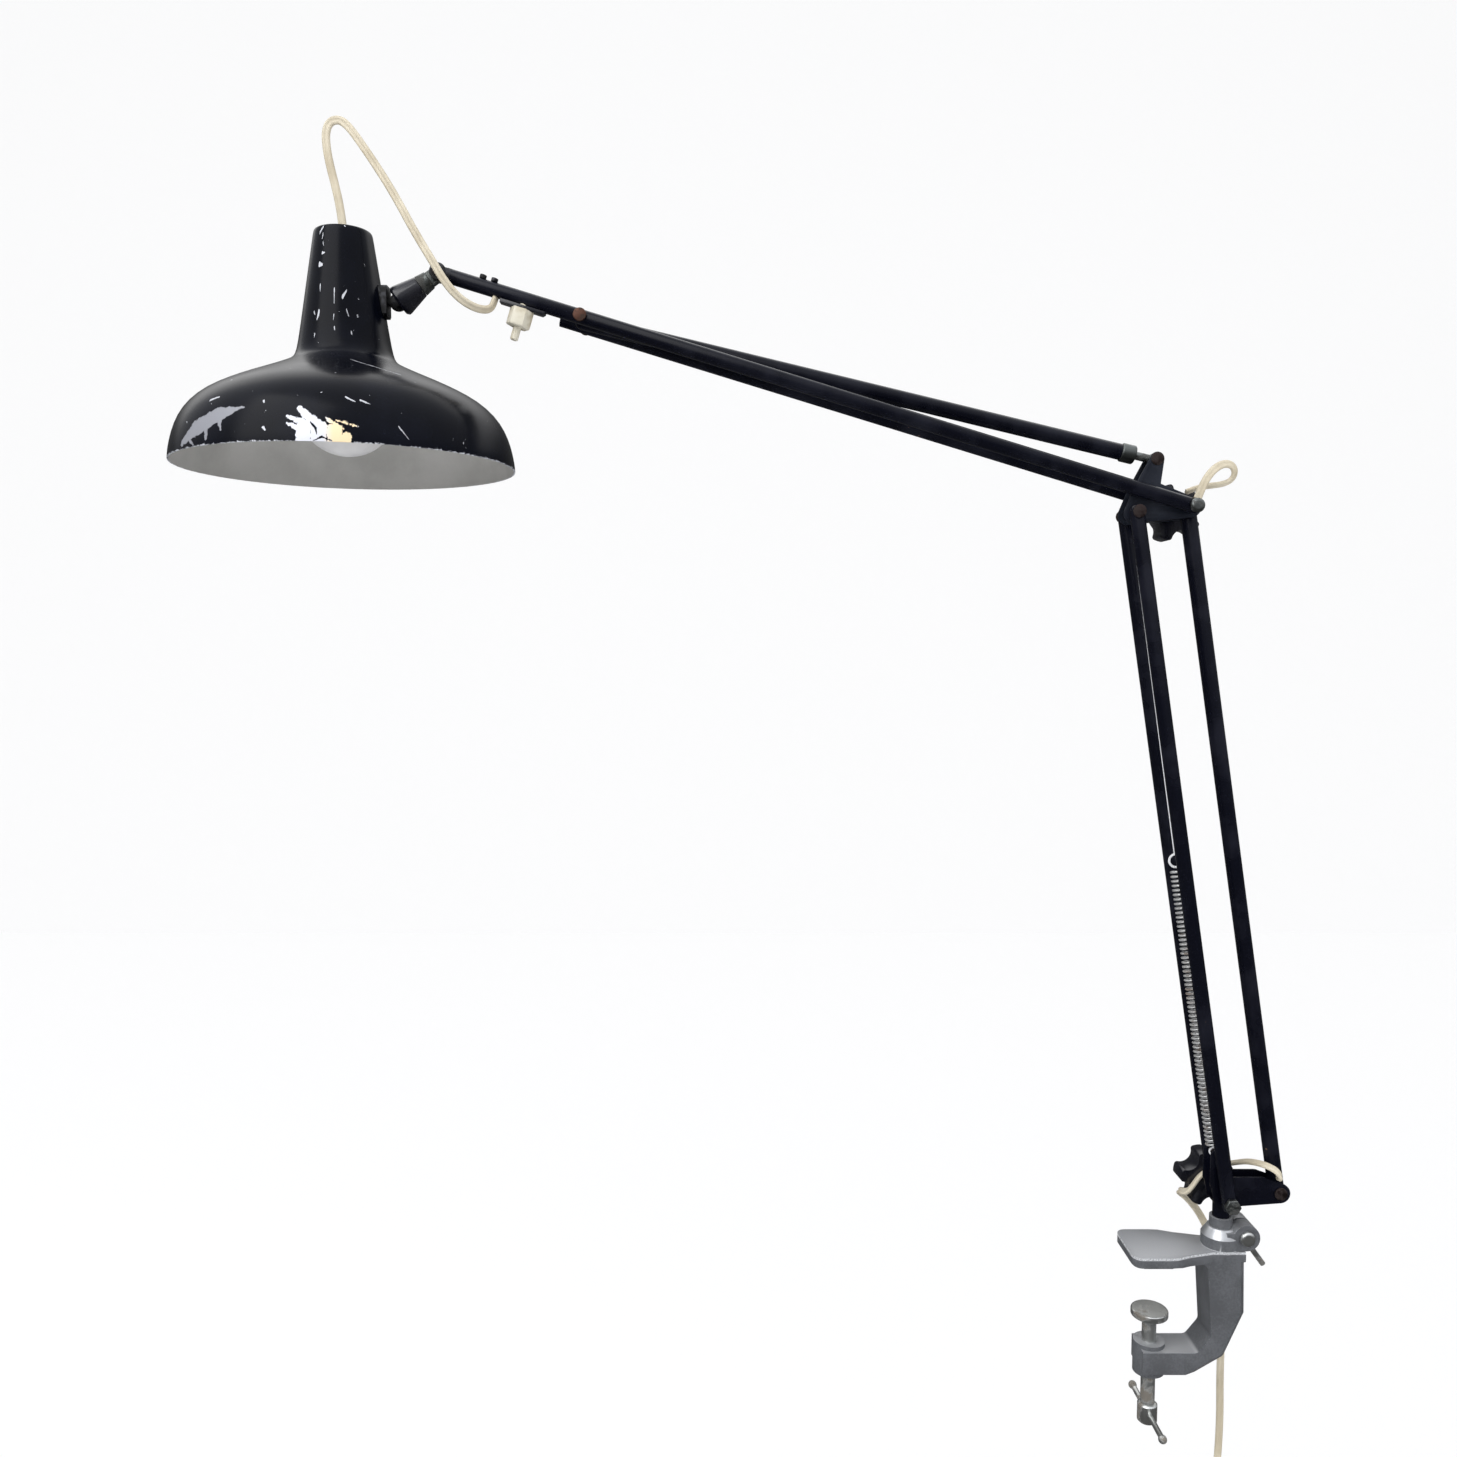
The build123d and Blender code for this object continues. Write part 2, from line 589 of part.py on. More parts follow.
def shade():
    """Spun aluminium bell: a wide bowl, a small fillet and a conical neck with a closed top."""

    def bell(inset):
        curve = shade_profile(inset)
        foot = (neck_foot_radius - inset, neck_foot_height - inset * 0.5)
        top_z = shade_height - inset
        top_r = neck_top_radius - inset
        bowl = Spline(*curve, foot, tangents=[(0, 1), (-0.25, 1)])
        round_in = (neck_radius_at(top_z - 2.5) - inset, top_z - 2.5)
        sides = Polyline(foot, round_in, (top_r - 3, top_z), (0, top_z), (0, curve[0][1]), curve[0])
        return revolve(Plane.XZ * make_face([bowl, *sides.edges()]), Axis.Z)

    body = bell(0) - bell(shade_wall)
    body = Pos(shade_axis.X, shade_axis.Y, rim_z) * body
    lip = Pos(shade_axis.X, shade_axis.Y, rim_z) * Torus(shade_rim_radius - 0.6, 0.9)
    body += lip
    body -= rod(shade_axis + Vector(0, 0, rim_z + shade_height - 5), shade_axis + Vector(0, 0, rim_z + shade_height + 5), nipple_radius)
    stud = Vector(ball_centre.X, -tube_y, ball_centre.Z)
    return body - rod(stud, stud + Vector(-30, 0, 0), stud_radius)


def neck_plate():
    """Small plate between the neck and the ball stud, hollowed to sit on the neck."""
    face_x = ball_centre.X - ball_radius - 0.6
    plate = Pos(face_x - 4, -tube_y, ball_centre.Z) * Box(8, 12, 21)
    plate = chamfer(plate.edges().filter_by(Axis.X), 2.0)
    plate -= Pos(shade_axis.X, -tube_y, rim_z) * shade_cone()
    stud = Vector(ball_centre.X, -tube_y, ball_centre.Z)
    return plate - rod(stud, stud + Vector(-30, 0, 0), stud_radius)


def shade_cone():
    """The neck's outside as a solid cone, above the rim."""
    return Pos(0, 0, neck_foot_height) * Cone(
        neck_foot_radius, neck_top_radius, shade_height - neck_foot_height,
        align=(Align.CENTER, Align.CENTER, Align.MIN),
    )


def ball_stud():
    """Ball with a waist and a threaded stud through the plate and the neck."""
    centre = Vector(ball_centre.X, -tube_y, ball_centre.Z)
    wall_x = shade_axis.X + neck_radius_at(rim_drop) - shade_wall
    return Pos(centre) * Sphere(ball_radius) + rod(centre, Vector(wall_x - 5.5, -tube_y, centre.Z), stud_radius)


def stud_nut():
    """Nut of the ball stud, inside the neck."""
    wall_x = shade_axis.X + neck_radius_at(rim_drop + stud_nut_size) - shade_wall - 0.8
    back = Vector(wall_x - stud_nut_thick, -tube_y, ball_centre.Z)
    nut = Plane(origin=back, z_dir=(1, 0, 0)) * extrude(RegularPolygon(stud_nut_size, 6), stud_nut_thick)
    return nut - rod(back - Vector(6, 0, 0), back + Vector(9, 0, 0), stud_radius)


def holder_nipple():
    """Threaded nipple with two nuts that hangs the lamp holder in the closed top."""
    top = shade_axis + Vector(0, 0, rim_z + shade_height)
    inner = top - Vector(0, 0, shade_wall)
    foot = shade_axis + Vector(0, 0, rim_z + holder_top - nipple_sink)
    nipple = rod(foot, top + Vector(0, 0, 3), nipple_radius)
    nipple += rod(inner - Vector(0, 0, 3), inner, 7.5) + rod(top, top + Vector(0, 0, 2), 7.0)
    return nipple - rod(foot - Vector(0, 0, 1), top + Vector(0, 0, 9), nipple_bore)


def lamp_holder():
    """Moulded screw holder for the bulb."""
    foot = shade_axis + Vector(0, 0, rim_z + holder_bottom)
    head = shade_axis + Vector(0, 0, rim_z + holder_top)
    shoulder = head - Vector(0, 0, 12)
    body = rod(foot, shoulder, holder_radius) + taper(shoulder, head, holder_radius, 9.0)
    socket_top = rim_z + bulb_clear + bulb_total + 1.0
    body -= rod(foot - Vector(0, 0, 1), Vector(shade_axis.X, shade_axis.Y, socket_top), bulb_cap_radius + 0.8)
    return body - rod(foot, head + Vector(0, 0, 1), nipple_radius)


def bulb():
    """Frosted glass envelope and its screw cap, as two pieces."""
    low = rim_z + bulb_clear
    cap_low = bulb_total - bulb_cap_length
    glass_arc = CenterArc((0, bulb_radius), bulb_radius, -90, 90 + 48)
    joint = glass_arc @ 1
    neck_line = Spline(joint, (bulb_cap_radius, cap_low - 4), tangents=[glass_arc % 1, (0, 1)])
    top_line = Polyline((bulb_cap_radius, cap_low - 4), (bulb_cap_radius, cap_low), (0, cap_low), (0, 0))
    glass = revolve(Plane.XZ * make_face([glass_arc, neck_line, *top_line.edges()]), Axis.Z)
    glass = Pos(shade_axis.X, shade_axis.Y, low) * glass
    middle = shade_axis + Vector(0, 0, low + bulb_radius)
    cap_start = shade_axis + Vector(0, 0, low + cap_low)
    glass -= Pos(middle) * Sphere(bulb_radius - bulb_wall)
    glass -= rod(middle, cap_start - Vector(0, 0, bulb_wall), bulb_cap_radius - bulb_wall)
    shoulder = cap_start + Vector(0, 0, bulb_cap_length - 5)
    cap = rod(cap_start, shoulder, bulb_cap_radius)
    cap += taper(shoulder, cap_start + Vector(0, 0, bulb_cap_length), 10.0, 5.0)
    cap -= rod(cap_start - Vector(0, 0, 1), shoulder - Vector(0, 0, bulb_wall), bulb_cap_radius - bulb_wall)
    return glass, cap


# ------------------------------------------------------------------ switch
def switch_saddle():
    """Small saddle that seats the switch under the near tube."""
    seat = arm_pivot + near + arm_out * switch_reach
    block = Plane(origin=seat + arm_down * (tube_radius - saddle_sink), x_dir=arm_out, z_dir=arm_down) * Box(
        saddle_length, saddle_width, saddle_drop + saddle_sink, align=(Align.CENTER, Align.CENTER, Align.MIN)
    )
    block = chamfer(block.edges().filter_by(Axis.Y).sort_by(Axis.Z)[0:1], 1.5)
    block -= rod(seat - arm_out * saddle_length, seat + arm_out * saddle_length, tube_radius)
    return block - rod(seat, seat + arm_down * (2 * tube_radius + saddle_drop), switch_bush)


def switch_housing():
    """Six-sided cream housing of the push switch, with its bush up into the tube."""
    seat = arm_pivot + near + arm_out * switch_reach
    foot = seat + arm_down * (tube_radius + saddle_drop)
    side = switch_flats / 2 / cos(radians(30))
    body = Plane(origin=foot, x_dir=arm_out, z_dir=arm_down) * extrude(RegularPolygon(side, 6), switch_height)
    body = fillet(body.faces().sort_by(Axis.Z)[0].edges(), 1.2)
    body += rod(foot, seat + arm_down * 1.5, switch_bush)
    sink = foot + arm_down * (switch_height - button_sunk - button_travel)
    return body - rod(sink, foot + arm_down * (switch_height + 1), button_radius + running)


def switch_button():
    """Round push button."""
    seat = arm_pivot + near + arm_out * switch_reach
    face = seat + arm_down * (tube_radius + saddle_drop + switch_height)
    button = rod(face - arm_down * button_sunk, face + arm_down * button_length, button_radius)
    return fillet(button.edges().sort_by(Axis.Z)[0], 1.2)


# ------------------------------------------------------------------ flex
# The twin flex leaves the closed top of the shade, folds over and goes into the near tube.
flex_shade_route = [
    (-561.5, -12.9, 716.5), (-562.8, -12.8, 729), (-566, -12.7, 744.5), (-569.8, -13, 760), (-571.6, -13.2, 772),
    (-571.5, -13.5, 780.5), (-568.5, -13.8, 786.3), (-562.5, -14.3, 787.6), (-556.5, -15.4, 783.5),
    (-548.5, -17.5, 773), (-542, -19, 763.5),
]
flex_socket_route = [(-542, -19, 763.5), (-535.5, -20.5, 754), (-523, -24, 734), (-510.5, -27, 711), (-504.7, -28, 701.5)]
flex_arm_route = [
    (-504.7, -28, 701.5), (-498.9, -29, 692), (-491.2, -28.6, 678.8), (-483.4, -26.5, 669.4), (-476.2, -23.1, 664.5),
    (-469.6, -18.4, 662.6), (-464.2, -14.4, 663.4), (-461.4, -12.9, 666.8), (-459.8, -12.9, 672.2),
]
# It leaves the near tube's round rear end, loops and goes down between the elbow bracket's cheeks.
flex_elbow_route = [
    (15.3, -12.9, 538), (18, -13, 545.4), (21.9, -12.9, 553), (27.8, -11.5, 559.2), (35, -9, 562.4),
    (41, -7.2, 561.2), (43.6, -5.6, 556.4), (41.6, -4, 551.4), (36, -2.6, 549), (28, -1.3, 548.2),
    (19.5, -0.4, 547), (12, 0, 544),
]
# It leaves the rear link low down, passes over the base bracket and between the far tube and the knob,
# and turns into a valley of the knob.
flex_base_route = [
    (86.7, -6.1, 62.3), (86.6, -10.4, 63), (85, -13.8, 66.3), (81.4, -14.2, 70.4), (76.2, -11, 72.4),
    (71.6, -4.6, 71.8), (68.4, 2.6, 69.6), (65, 10.4, 65.6), (60.4, 17, 61.6), (53, 21.2, 57.2),
    (43, 21.3, 52), (36.2, 21.2, 41.6), (33.6, 25, 36.2), (33.75, 31, 35.75),
]
# The lead goes on behind the knob, hangs down behind the clamp and ends in a tied coil.
flex_lead_route = [
    (33.75, 31, 35.75), (33.85, 35, 35.45), (34.2, 41.8, 33.6), (37.6, 48.4, 29.8), (45, 51, 22), (53.5, 49, 10),
    (60.5, 45.8, -5), (65, 42.6, -24), (67.6, 40.4, -48), (68.7, 39.2, -78), (68.1, 38.6, -112),
    (68.8, 38.2, -142), (68.2, 38, -168), (67, 38, -187), (63.6, 38, -199.5),
]


def flex(name, route):
    """A plain tube along a hand-chosen route, with an arc at each point as large as its runs allow."""
    points = [Vector(*point) for point in route]
    radii = []
    for before, here, after in zip(points, points[1:], points[2:]):
        run = min((here - before).length, (after - here).length)
        radii.append(0.45 * run / tan(radians((here - before).get_angle(after - here)) / 2))
    path = FilletPolyline(*points, radius=radii)
    print(name, "length", round(path.length, 1), "tightest", round(min(radii), 1))
    return sweep((path ^ 0) * Circle(flex_width / 2), path=path)


def flex_coil():
    """The outer shape of the lead's put-away length, wound into a round coil that hangs upright."""
    return Plane(origin=coil_centre, z_dir=(0, 1, 0)) * Torus(coil_radius, coil_bundle)


def coil_tie():
    """Band round the coil's bundle."""
    centre = Vector(*coil_centre) + heading(tie_angle) * coil_radius
    half = heading(tie_angle + 90) * (tie_width / 2)
    band = rod(centre - half, centre + half, coil_bundle + tie_thick)
    return band - flex_coil()


def mains_plug():
    """Flat plug with two round pins and a tapered relief, lying on the coil."""
    y = coil_centre[1] - coil_bundle - plug_thick / 2 - 1.0
    head = Vector(coil_centre[0] - coil_radius + 4, y, coil_centre[2] + 2)
    body = Pos(head.X, y, head.Z - plug_height / 2) * Box(plug_width, plug_thick, plug_height)
    body = fillet(body.edges().filter_by(Axis.Z), 3.0)
    body = chamfer(body.edges().group_by(Axis.Z)[-1], 2.0)
    relief_end = Vector(head.X - 2, coil_centre[1] - 8, head.Z + 15)
    body += taper(head - Vector(0, 0, 1), relief_end, 4.6, 3.2)
    for side in (-1, 1):
        pin = Vector(head.X + side * plug_pin_spacing / 2, y, head.Z - plug_height)
        body += rod(pin + Vector(0, 0, 1), pin - Vector(0, 0, plug_pin_length), plug_pin_radius)
    return body


# ------------------------------------------------------------------ write the parts
glass, cap = bulb()
parts = {
    "clamp_frame": clamp_frame(),
    "pinch_bolt": pinch_bolt(),
    "pinch_nut": pinch_nut(),
    "clamp_screw": clamp_screw(),
    "tommy_bar": tommy_bar(),
    "swivel_pad": swivel_pad(),
    "base_bracket": base_bracket(),
    "base_post": base_post(),
    "base_sleeve": across(base_pivot, sleeve_radius, sheet - bracket_half, bracket_half - sheet)
    - across(base_pivot, bolt_radius + running, -9, 9),
    "link_rivet": rivet(link_foot, bracket_half),
    "spring_pin": across(spring_foot, spring_pin_radius, -bracket_half - 0.2, bracket_half + 0.2),
    "lower_tube_near": lower_tube(-1),
    "lower_tube_far": lower_tube(1),
    "lower_pivot_bolt": lower_pivot_bolt(),
    "lower_knob": star_knob(base_pivot, 27),
    "elbow_rivet": rivet(elbow_pivot, outer_face),
    "balance_spring": balance_spring(),
    "spring_wire": spring_wire_up(),
    "rear_link": rear_link(),
    "elbow_bracket": elbow_bracket(),
    "strut_rear_rivet": rivet(strut_foot, bracket_half, flush_head),
    "upper_tube_near": upper_tube_near(),
    "upper_tube_far": upper_tube_far(),
    "upper_pivot_bolt": upper_pivot_bolt(),
    "upper_knob": star_knob(arm_pivot, 36),
    "strut_front_rivet": rivet(strut_head, outer_face),
    "strut_tube": strut_tube(),
    "strut_ferrule": strut_ferrule(),
    "strut_rod": strut_rod(),
    "strut_spring": strut_spring(),
    "arm_fork": arm_fork(),
    "fork_screws": fork_screws(),
    "knuckle_pin": knuckle_pin(),
    "knuckle": knuckle(),
    "ball_socket": ball_socket(),
    "ball_stud": ball_stud(),
    "neck_plate": neck_plate(),
    "stud_nut": stud_nut(),
    "shade": shade(),
    "holder_nipple": holder_nipple(),
    "lamp_holder": lamp_holder(),
    "bulb_glass": glass,
    "bulb_cap": cap,
    "switch_saddle": switch_saddle(),
    "switch_housing": switch_housing(),
    "switch_button": switch_button(),
    "flex_shade": flex("flex_shade", flex_shade_route),
    "flex_socket": flex("flex_socket", flex_socket_route),
    "flex_arm": flex("flex_arm", flex_arm_route),
    "flex_elbow": flex("flex_elbow", flex_elbow_route),
    "flex_base": flex("flex_base", flex_base_route),
    "flex_lead": flex("flex_lead", flex_lead_route),
    "flex_coil": flex_coil(),
    "coil_tie": coil_tie(),
    "mains_plug": mains_plug(),
}
for name, shape in parts.items():
    export_step(shape, f"parts/{name}.step")
print(len(parts), "parts written")
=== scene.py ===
# %% [markdown]
# # A clamp-on desk lamp and its finishes
# The lamp's solids come packed in one shared frame, in metres, with +Z up and the shade towards -X.
# This script keeps every solid where it is. It gives each one a finish, and models again what a plain
# solid can't show: the spun shade, the bulb, the wound springs and the twin flex.

# %% Load the imported lamp
import bpy
import json
from math import cos, pi, radians, sin
from mathutils import Matrix, Vector

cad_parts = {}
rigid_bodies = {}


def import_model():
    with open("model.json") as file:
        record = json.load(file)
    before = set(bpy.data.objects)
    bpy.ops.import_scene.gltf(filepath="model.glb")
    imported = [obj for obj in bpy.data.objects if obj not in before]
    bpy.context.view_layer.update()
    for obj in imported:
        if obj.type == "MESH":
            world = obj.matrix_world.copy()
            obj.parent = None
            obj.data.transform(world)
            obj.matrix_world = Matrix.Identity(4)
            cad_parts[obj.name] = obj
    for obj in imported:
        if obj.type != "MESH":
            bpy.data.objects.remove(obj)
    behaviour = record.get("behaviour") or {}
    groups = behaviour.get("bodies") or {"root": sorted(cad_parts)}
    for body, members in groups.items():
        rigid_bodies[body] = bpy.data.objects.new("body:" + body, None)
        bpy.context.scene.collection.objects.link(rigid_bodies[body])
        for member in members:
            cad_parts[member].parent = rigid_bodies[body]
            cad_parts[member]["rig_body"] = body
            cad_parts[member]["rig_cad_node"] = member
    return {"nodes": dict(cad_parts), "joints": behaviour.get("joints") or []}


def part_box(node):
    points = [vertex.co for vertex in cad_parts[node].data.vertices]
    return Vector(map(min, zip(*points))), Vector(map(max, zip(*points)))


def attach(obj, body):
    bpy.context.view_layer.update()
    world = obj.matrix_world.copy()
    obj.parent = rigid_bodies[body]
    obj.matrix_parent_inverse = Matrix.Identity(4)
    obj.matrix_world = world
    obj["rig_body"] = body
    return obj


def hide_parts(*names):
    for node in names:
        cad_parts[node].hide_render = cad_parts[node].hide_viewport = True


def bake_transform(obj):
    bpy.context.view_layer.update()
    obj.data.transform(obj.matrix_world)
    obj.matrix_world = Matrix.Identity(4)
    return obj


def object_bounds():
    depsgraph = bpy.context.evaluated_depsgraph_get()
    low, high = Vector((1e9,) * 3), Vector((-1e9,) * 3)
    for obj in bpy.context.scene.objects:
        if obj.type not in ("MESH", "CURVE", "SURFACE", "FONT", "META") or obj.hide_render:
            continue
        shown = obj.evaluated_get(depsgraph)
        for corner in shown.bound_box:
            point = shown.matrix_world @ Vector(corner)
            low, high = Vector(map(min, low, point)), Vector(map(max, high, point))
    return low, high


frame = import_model()
solids_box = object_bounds()
joints = {joint["name"]: joint for joint in frame["joints"]}

# %% [markdown]
# The places in this cell are worked out from the frame. A joint's position is where two pieces turn on
# each other, so the elbow's pivot is also where the balance spring pulls.


# %% Places taken from the joints
mm = 0.001


def pivot(joint_name):
    return Vector(joints[joint_name]["pos_m"])


def middle(node):
    low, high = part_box(node)
    return (low + high) / 2


elbow_pivot, arm_pivot = pivot("elbow_level"), pivot("upper_raise")
shade_low, shade_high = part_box("shade")
shade_axis = (shade_low + shade_high) / 2
shade_radius = (shade_high.x - shade_low.x) / 2
lamp_low, lamp_high = solids_box
print("arms meet at", [round(v, 3) for v in arm_pivot])

# %% [markdown]
# Operators act on everything that is selected, and the loaded solids arrive selected. So each modelling
# step first clears the selection, and then takes only its own object.


# %% Selecting
def take_only(thing):
    bpy.ops.object.select_all(action="DESELECT")
    thing.select_set(True)
    bpy.context.view_layer.objects.active = thing


def apply_modifiers(thing):
    take_only(thing)
    for modifier in list(thing.modifiers):
        bpy.ops.object.modifier_apply(modifier=modifier.name)


def settle(thing, name):
    """Names a new object and puts its place into its mesh, so that the object sits at the origin."""
    thing.name = name
    take_only(thing)
    bpy.ops.object.transform_apply(location=True, rotation=True, scale=True)
    return thing


bpy.ops.object.select_all(action="DESELECT")
print("nothing is selected")

# %% [markdown]
# ## Writing finishes as sums
# A finish is a graph of small maths nodes. Written as Python sums it stays readable, so one class wraps
# a socket and lets +, -, * and / add the nodes. A second class holds the material.


# %% A socket that Python can do sums with
class Signal:
    def __init__(self, finish, socket):
        self.finish = finish
        self.socket = socket

    def maths(self, operation, *others, clamp=False):
        node = self.finish.node("ShaderNodeMath", {"operation": operation, "use_clamp": clamp},
                                dict(enumerate((self, *others))))
        return Signal(self.finish, node.outputs[0])

    def __add__(self, other):
        return self.maths("ADD", other)

    def __sub__(self, other):
        return self.maths("SUBTRACT", other)

    def __rsub__(self, other):
        return (self * -1) + other

    def __mul__(self, other):
        return self.maths("MULTIPLY", other)

    def __truediv__(self, other):
        return self.maths("DIVIDE", other)

    __radd__ = __add__
    __rmul__ = __mul__

    def ramp(self, low, high):
        """0 below low, 1 above high, and smooth between them."""
        node = self.finish.node("ShaderNodeMapRange", {"interpolation_type": "SMOOTHSTEP"},
                                {"Value": self, "From Min": low, "From Max": high})
        return Signal(self.finish, node.outputs[0])


class Finish:
    """A material with one principled shader, whose nodes are added by node()."""

    def __init__(self, name, colour, roughness, metal=0.0, **shader_values):
        self.material = bpy.data.materials.new(name)
        self.material.use_nodes = True
        self.tree = self.material.node_tree
        self.shader = self.tree.nodes["Principled BSDF"]
        place = self.node("ShaderNodeTexCoord")
        self.place = Signal(self, place.outputs["Object"])
        self.facing = Signal(self, place.outputs["Normal"])
        self.paint("Base Color", (*colour, 1))
        self.paint("Roughness", roughness)
        self.paint("Metallic", metal)
        for socket, value in shader_values.items():
            self.paint(socket.replace("_", " "), value)

    def plug(self, socket, value):
        if isinstance(value, Signal):
            self.tree.links.new(value.socket, socket)
        elif isinstance(value, bpy.types.NodeSocket):
            self.tree.links.new(value, socket)
        else:
            socket.default_value = value

    def node(self, kind, settings=None, sockets=None):
        made = self.tree.nodes.new(kind)
        for setting, value in (settings or {}).items():
            setattr(made, setting, value)
        for key, value in (sockets or {}).items():
            self.plug(made.inputs[key], value)
        return made

    def paint(self, socket, value):
        self.plug(self.shader.inputs[socket], value)

    def noise(self, size, detail=3.0, roughness=0.55):
        """Cloudy noise whose blotches are about `size` metres across."""
        node = self.node("ShaderNodeTexNoise", {"noise_dimensions": "3D"},
                         {"Vector": self.place, "Scale": 1 / size, "Detail": detail, "Roughness": roughness})
        return Signal(self, node.outputs[0])

    def mix(self, share, first, second):
        """The first colour where share is 0 and the second where it is 1."""
        node = self.node("ShaderNodeMix", {"data_type": "RGBA"}, {0: share, 6: first, 7: second})
        return Signal(self, node.outputs[2])

    def vector(self, operation, first, second=(0, 0, 0), output="Vector", scale=1.0):
        node = self.node("ShaderNodeVectorMath", {"operation": operation}, {0: first, 1: second, 3: scale})
        return Signal(self, node.outputs[output])

    def along(self, direction):
        """How far a place lies along a direction."""
        return self.vector("DOT_PRODUCT", self.place, tuple(direction), "Value")

    def stroke(self, spot, start, end, thick, thin):
        """How far a spot is outside a stroke that tapers from thick to thin, all in millimetres."""
        first = Vector((*start, 0))
        line = Vector((*end, 0)) - first
        away = self.vector("SUBTRACT", spot, tuple(first))
        along_line = self.vector("DOT_PRODUCT", away, tuple(line / line.length_squared), "Value")
        share = along_line.maths("ADD", 0, clamp=True)
        nearest = self.vector("SCALE", tuple(line), scale=share)
        gap = self.vector("LENGTH", self.vector("SUBTRACT", away, nearest), output="Value")
        return gap - (share * (thin - thick) + thick)

    def bump(self, height, distance, strength=1.0):
        node = self.node("ShaderNodeBump", None,
                         {"Height": height, "Distance": distance, "Strength": strength})
        self.paint("Normal", Signal(self, node.outputs[0]))


print("finish tools are ready")

# %% [markdown]
# ## Black enamel
# The tubes are steel under black stoving enamel that has been handled for decades. It is nearly black,
# glossy where hands polish it and duller where dust sits. Small chips show brown primer and rust. Noise
# at two sizes drives the gloss and the chips, and a faint wave in the surface breaks up its highlights.


# %% Enamel
def rgb(red, green, blue):
    return (red, green, blue, 1)


def enamel(name, colour, gloss, chips, chip_colour=(0.16, 0.10, 0.065)):
    finish = Finish(name, colour, gloss, Specular_IOR_Level=0.17)
    cloud = finish.noise(0.03)
    grain = finish.noise(0.0022, detail=4)
    speck = (finish.noise(0.0045, detail=5) * 0.7 + cloud * 0.3).ramp(chips, chips + 0.03)
    dusty = tuple(min(1, value * 1.6 + 0.004) for value in colour)
    coat = finish.mix(cloud.ramp(0.42, 0.72), rgb(*colour), rgb(*dusty))
    finish.paint("Base Color", finish.mix(speck, coat, rgb(*chip_colour)))
    finish.paint("Roughness", gloss + (cloud - 0.5) * 0.25 + speck * 0.35)
    finish.bump(grain * 0.3 - speck, 0.00012, 0.5)
    return finish.material


black_enamel = enamel("black_enamel", (0.0026, 0.0030, 0.0068), 0.27, 0.68)
bracket_enamel = enamel("bracket_enamel", (0.010, 0.012, 0.018), 0.33, 0.72)
print("enamels:", black_enamel.name, bracket_enamel.name)

# %% [markdown]
# ## Bare and cast metals
# A metal's colour is its reflection, so a finish is mostly a map of roughness: grime in the hollows is
# rough and dark, and handled spots are smooth and bright. The cast clamp has a fine sandy skin, the
# zinc screws are dull, and the rivets have gone brown with rust. Light is painted on the clamp: the faces
# that look up are painted lighter, as if lit from above, and painted highlights run along the jaw's top
# rim and round the flared foot of the post.


# %% Metals
def metal(name, colour, gloss, grime, grime_share, sand=0.0011, depth=0.00006, blotch=0.012, sheen=1.0):
    finish = Finish(name, colour, gloss, metal=sheen)
    cloud = finish.noise(blotch, detail=4)
    skin = finish.noise(sand, detail=3)
    dirty = cloud.ramp(0.72 - grime_share, 0.86 - grime_share)
    finish.paint("Base Color", finish.mix(dirty, rgb(*colour), rgb(*grime)))
    finish.paint("Roughness", gloss + dirty * 0.28 + (skin - 0.5) * 0.2)
    finish.paint("Metallic", sheen - dirty * 0.55 * sheen)
    finish.bump(skin, depth, 0.6)
    return finish.material


def sand_casting(name, side_colour, lit_top_colour, highlight_colour):
    finish = Finish(name, side_colour, 0.45, metal=0.5)
    skin = finish.noise(0.0014, detail=3)
    cloud = finish.noise(0.022, detail=4)
    upward = finish.vector("DOT_PRODUCT", finish.facing, (0, 0, 1), "Value")
    height = finish.along((0, 0, 1))
    # Painted highlights: a bright band on the flared foot round the post, and one along the top of the jaw's
    # sides, where the faces turn from up to the side.
    flare_highlight = upward.ramp(0.18, 0.5) * (1 - upward.ramp(0.78, 0.97)) * height.ramp(0.0100, 0.0115)
    ridge_highlight = (1 - upward.ramp(0.5, 0.9)) * height.ramp(0.0080, 0.0087) * (1 - height.ramp(0.0101, 0.0105))
    edge = flare_highlight * 0.55 + ridge_highlight
    shaded = finish.mix((cloud * 0.6 + skin * 0.4).ramp(0.38, 0.62), rgb(*side_colour),
                        rgb(*(value * 1.35 for value in side_colour)))
    # Painted light: faces that look up get the lighter top colour, as if lit from above.
    coat = finish.mix(upward.ramp(0.6, 0.97), shaded, rgb(*lit_top_colour))
    finish.paint("Base Color", finish.mix(edge, coat, rgb(*highlight_colour)))
    finish.paint("Roughness", 0.45 + (skin - 0.5) * 0.2 - edge * 0.17)
    finish.paint("Metallic", 0.5 + flare_highlight * 0.3)
    finish.bump(skin, 0.00008, 0.6)
    return finish.material


cast_alloy = sand_casting("cast_alloy", (0.145, 0.15, 0.158), (0.35, 0.355, 0.365), (0.80, 0.81, 0.82))
rubbed_alloy = metal("rubbed_alloy", (0.78, 0.79, 0.80), 0.3, (0.52, 0.52, 0.53), 0.2, sheen=0.8)
bright_steel = metal("bright_steel", (0.64, 0.65, 0.63), 0.33, (0.22, 0.20, 0.17), 0.22)
aged_zinc = metal("aged_zinc", (0.17, 0.18, 0.175), 0.34, (0.08, 0.08, 0.075), 0.25, blotch=0.005)
grey_alloy = metal("grey_alloy", (0.13, 0.14, 0.135), 0.42, (0.065, 0.065, 0.06), 0.25)
spring_steel = metal("spring_steel", (0.60, 0.60, 0.59), 0.42, (0.26, 0.22, 0.19), 0.2, blotch=0.009,
                     sheen=0.7)
rivet_steel = metal("rivet_steel", (0.055, 0.040, 0.038), 0.46, (0.032, 0.022, 0.020), 0.3, blotch=0.004)
